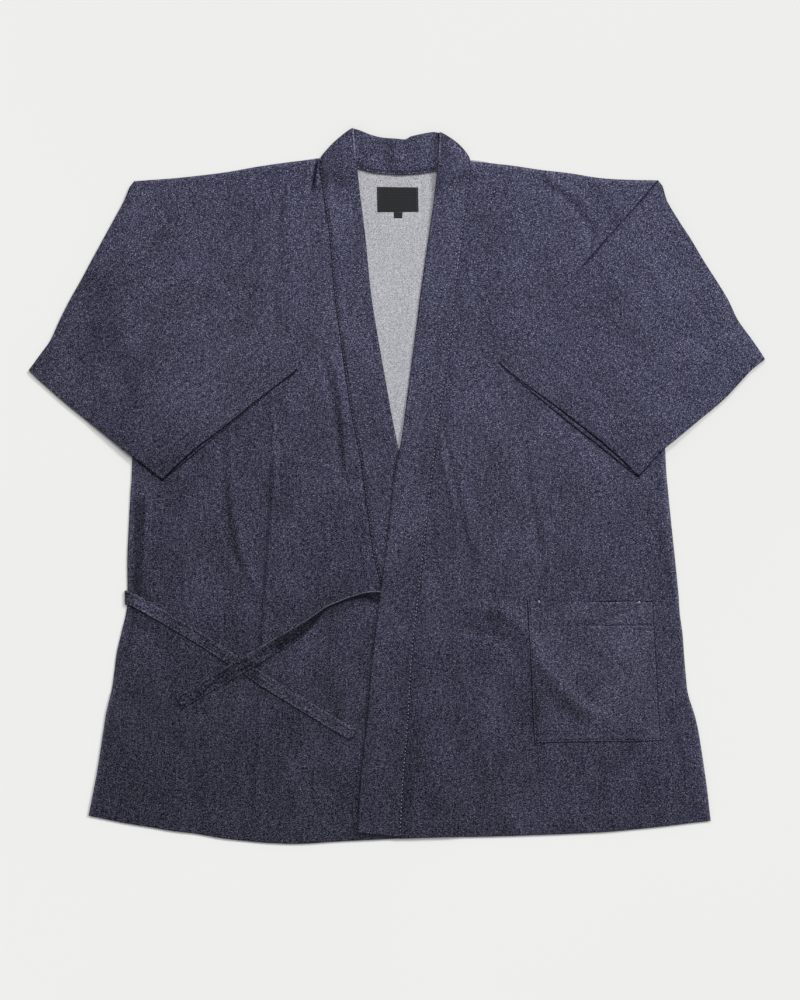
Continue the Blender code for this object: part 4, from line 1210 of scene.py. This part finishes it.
def woven_ribbon():
    """Woven polyester ribbon: near black, smooth, with a close rib across it that shines a little."""
    material, output = new_material("black woven ribbon")
    tree = material.node_tree
    weave = add_node(tree, "ShaderNodeUVMap", {"uv_map": "cut"})
    placed = add_node(tree, "ShaderNodeMapping", {"Scale": (1 / (0.9 * MM), 1 / (0.9 * MM), 1)},
                      {"Vector": weave.outputs["UV"]})
    rib = add_node(tree, "ShaderNodeTexWave", {
        "bands_direction": "Y", "Scale": 1 / math.tau, "Distortion": 0.4},
        {"Vector": placed.outputs["Vector"]})
    shade = add_node(tree, "ShaderNodeValToRGB", links={"Fac": rib.outputs["Fac"]},
                     stops=[(0.2, linear("#121314")), (0.8, linear("#242528"))])
    bump = add_node(tree, "ShaderNodeBump", {"Strength": 0.4, "Distance": 0.15 * MM},
                    {"Height": rib.outputs["Fac"]})
    ribbon = add_node(tree, "ShaderNodeBsdfPrincipled", {"Roughness": 0.7, "Specular IOR Level": 0.3},
                      {"Base Color": shade.outputs["Color"], "Normal": bump.outputs["Normal"]})
    tree.links.new(ribbon.outputs["BSDF"], output.inputs["Surface"])
    return material


black_ribbon = woven_ribbon()


def ribbon_piece(name, corners, bow, node):
    """A flat ribbon between four corners, a little bowed, with its two ends turned under."""
    top_left, top_right, low_right, low_left = corners
    x, y, edge = panel_plan(*(smooth_line(pair) for pair in (
        (top_left, top_right), (low_left, low_right), (top_left, low_left), (top_right, low_right))),
        RIBBON_STEP, RIBBON_EDGE, RIBBON_EDGE, RIBBON_EDGE, RIBBON_EDGE)
    middle = np.clip(np.minimum(edge["start"], edge["end"]) / 12, 0, 1)
    low = sample(pile, x, y) + RIBBON_AIR + bow * middle
    end_turn = 0.25 / (1 + np.exp((np.minimum(edge["start"], edge["end"]) - 4.5) / 0.3))
    top = low + RIBBON + end_turn
    piece = panel_piece(name, x, y, low, top, black_ribbon, node)
    return piece, (x, y, top, edge)


LABEL = [(-22.8, 340.3), (24, 339.7), (24.6, 312), (-22.4, 311.6)]
SIZE_TAB = [(-3.6, 311.3), (6.2, 311.3), (6.0, 304.8), (-3.4, 304.8)]
label, label_grid = ribbon_piece("label_ribbon", LABEL, 0.35, "neck_label")
x, y, z, edge = label_grid
label_ends = [grid_line(x, y, z, edge["start"], 1.6), grid_line(x, y, z, edge["end"], 1.6)]
label_thread = stitches("label_thread", label_ends, navy_thread, 61, 1.6, 2.6, 0.5)
size_tab, _ = ribbon_piece("size_tab_ribbon", SIZE_TAB, 0.0, "size_tab")

# The ties: two narrow strips of denim, folded in four lengthwise and stitched along both edges. One
# hangs from the right side seam and lies over the under front. The other springs from the collar's
# free edge, on edge at first, and crosses it.
SIDE_TIE_WIDTH = 14.6
FRONT_TIE_WIDTH = 16.6
TIE = 1.5
TIE_EDGE = [(0.0, 0.75, 0.75), (0.3, 1.22, 0.28), (0.9, 1.45, 0.05), (1.7, 1.38, 0.0), (2.6, 1.5, 0.0)]
TIE_MIDDLE = (0.3, 0.5, 0.7)
TIE_SPACING = 2.2
SIDE_TIE = [
    # x, y, tilt, lift of the lower edge
    (-295, -132.6, 0, 2.6), (-281.5, -140.4, 0, 2.0), (-247.5, -160.3, 0, 1.4), (-217.6, -178.5, 0, 1.1),
    (-190, -196.5, 0, 1.0), (-168, -211, 0, 0.3), (-146, -225.5, 0, 1.1), (-110.5, -247.5, 0, 1.2),
    (-78, -267.5, 0, 1.1), (-48.5, -284.6, 0, 0.9),
]
FRONT_TIE = [
    (-19.5, -126.6, 30, 0.3), (-27, -124.4, 50, 0.3), (-37, -123.7, 67, 0.3), (-52, -126.7, 77, 0.3),
    (-66, -131.8, 79, 0.3), (-80, -138.2, 77, 0.3), (-92.5, -149, 62, 0.3), (-104.3, -159.7, 43, 0.3),
    (-118, -169.7, 26, 0.5), (-134, -179.5, 14, 0.9), (-150, -189.5, 8, 1.2), (-176, -204.5, 4, 1.2),
    (-204, -221, 2, 1.2), (-230, -236.5, 0, 1.1), (-249.5, -247.5, 0, 1.0),
]
ROOT_TOP, ROOT_FOOT = -119.5, -135.5
ROOT_EDGE = -308.3
ROOT_RADIUS = 2.0
ROOT_ROWS = 9
SIDE_TIE_PALING = 0.12


def tie_section(width):
    """The points round a tie's section: distance across and height, upper face first."""
    across = [*TIE_EDGE, *((width * share, TIE, 0.0) for share in TIE_MIDDLE),
              *((width - d, up, low) for d, up, low in TIE_EDGE[::-1])]
    return [(d, up) for d, up, low in across] + [(d, low) for d, up, low in across[-2:0:-1]]


def tie_rings(sections, width, bed):
    """Rings of a tie along its table: flat it follows its bed, and tilted it stands on its lower edge."""
    dense = smooth_line(sections, 0.5)
    count = round(line_length(dense) / TIE_SPACING)
    rows = at_share(dense, np.linspace(0, 1, count + 1))
    heading = np.gradient(rows[:, :2], axis=0)
    heading /= np.hypot(*heading.T)[:, None]
    rings = []
    for (x, y, tilt, lift), run in zip(rows, heading):
        aside = np.array((-run[1], run[0])) if run[0] > 0 else np.array((run[1], -run[0]))
        lean = math.radians(max(tilt, 0))
        low = np.array((x, y)) - aside * width / 2 * math.cos(lean)
        on_edge = min(1.0, max(tilt, 0) / 12)
        ring = []
        for distance, height in tie_section(width):
            place = low + aside * (distance * math.cos(lean) - height * math.sin(lean))
            under = low + aside * distance * math.cos(lean)
            below = resting(bed, under[0], under[1]) * (1 - on_edge) + resting(bed, low[0], low[1]) * on_edge
            rise = distance * math.sin(lean) + height * math.cos(lean)
            ring.append((*place, below + lift * (1 - distance / width) ** 2 + 0.05 + rise))
        rings.append(ring)
    return np.array(rings)


def root_rings(width, bed):
    """The side tie's root: up the outside of the side seam and over the edge, as a round turn."""
    over = float(resting(bed, np.array(ROOT_EDGE + 6), np.array(ROOT_TOP - 8)))
    centre_x, centre_z = ROOT_EDGE + 1.5, over - 1.9
    rings = []
    for z, angle in [(0.35, 0.0), (centre_z / 2 + 0.3, 0.0), *(
            (centre_z, angle) for angle in np.radians(np.linspace(0, 80, 6)))]:
        ring = []
        for distance, height in tie_section(width):
            y = ROOT_FOOT + (ROOT_TOP - ROOT_FOOT) * distance / width
            reach = ROOT_RADIUS + height
            ring.append((centre_x - reach * math.cos(angle), y, z + reach * math.sin(angle)))
        rings.append(ring)
    return np.array(rings)


side_tie_denim = denim("slub denim, strip, pale yarn up", ("#0D0E18", "#24252F", "#46474F", "#88898E"),
                       (0.0, 1.4), stripes=0.3, sizes=(1.0, 2.0))
front_tie_denim = denim("slub denim, strip, dark yarn up", ("#0D0E1A", "#242533", "#464755", "#8A8B93"),
                        (0.0, 1.4), stripes=0.3, sizes=(1.2, 2.4))
bed = draped(pile, 4.0)
side_rings = np.concatenate([root_rings(SIDE_TIE_WIDTH, bed), tie_rings(SIDE_TIE, SIDE_TIE_WIDTH, bed)])
tie_rim = len(TIE_EDGE) * 2 + len(TIE_MIDDLE) - 1
side_tie_worn = rim_wear_and_highlight(side_rings, tie_rim, 0.2)
side_tie_worn[:ROOT_ROWS] += SIDE_TIE_PALING
side_tie_worn += SIDE_TIE_PALING * np.clip((side_rings[..., 0] + 190) / 60, 0, 1)
side_tie = band_piece("side_tie_strip", side_rings, side_tie_worn, side_tie_denim, "side_tie")
lay_on_pile(np.concatenate([side_rings[:, 0, :2], side_rings[::-1, tie_rim, :2]]),
            resting(bed, TABLE_X, TABLE_Y) + TIE)
front_rings = tie_rings(FRONT_TIE, FRONT_TIE_WIDTH, draped(pile, 4.0))
# The front tie's upper edge is painted pale: some wear along its fold, and a painted highlight that is
# strongest where the tie stands on edge.
edge_highlight = np.interp(front_rings[:, 0, 0], (-250, -160, -110), (0.4, 0.8, 1.3))
front_tie_highlight = rim_wear_and_highlight(front_rings, tie_rim, edge_highlight)
front_tie = band_piece("front_tie_strip", front_rings, front_tie_highlight, front_tie_denim, "front_tie")


NEAR_STITCH = 3
FAR_STITCH = len(TIE_EDGE) + len(TIE_MIDDLE) + 1
side_rows = [side_rings[2:-2, index] for index in (NEAR_STITCH, FAR_STITCH)]
side_thread = stitches("side_tie_thread", side_rows, soft_thread, 71, 2.2, 4.4, 0.5)
front_rows = [front_rings[2:-2, index] for index in (NEAR_STITCH, FAR_STITCH)]
front_thread = stitches("front_tie_thread", front_rows, navy_thread, 72, 2.2, 3.4, 0.5)
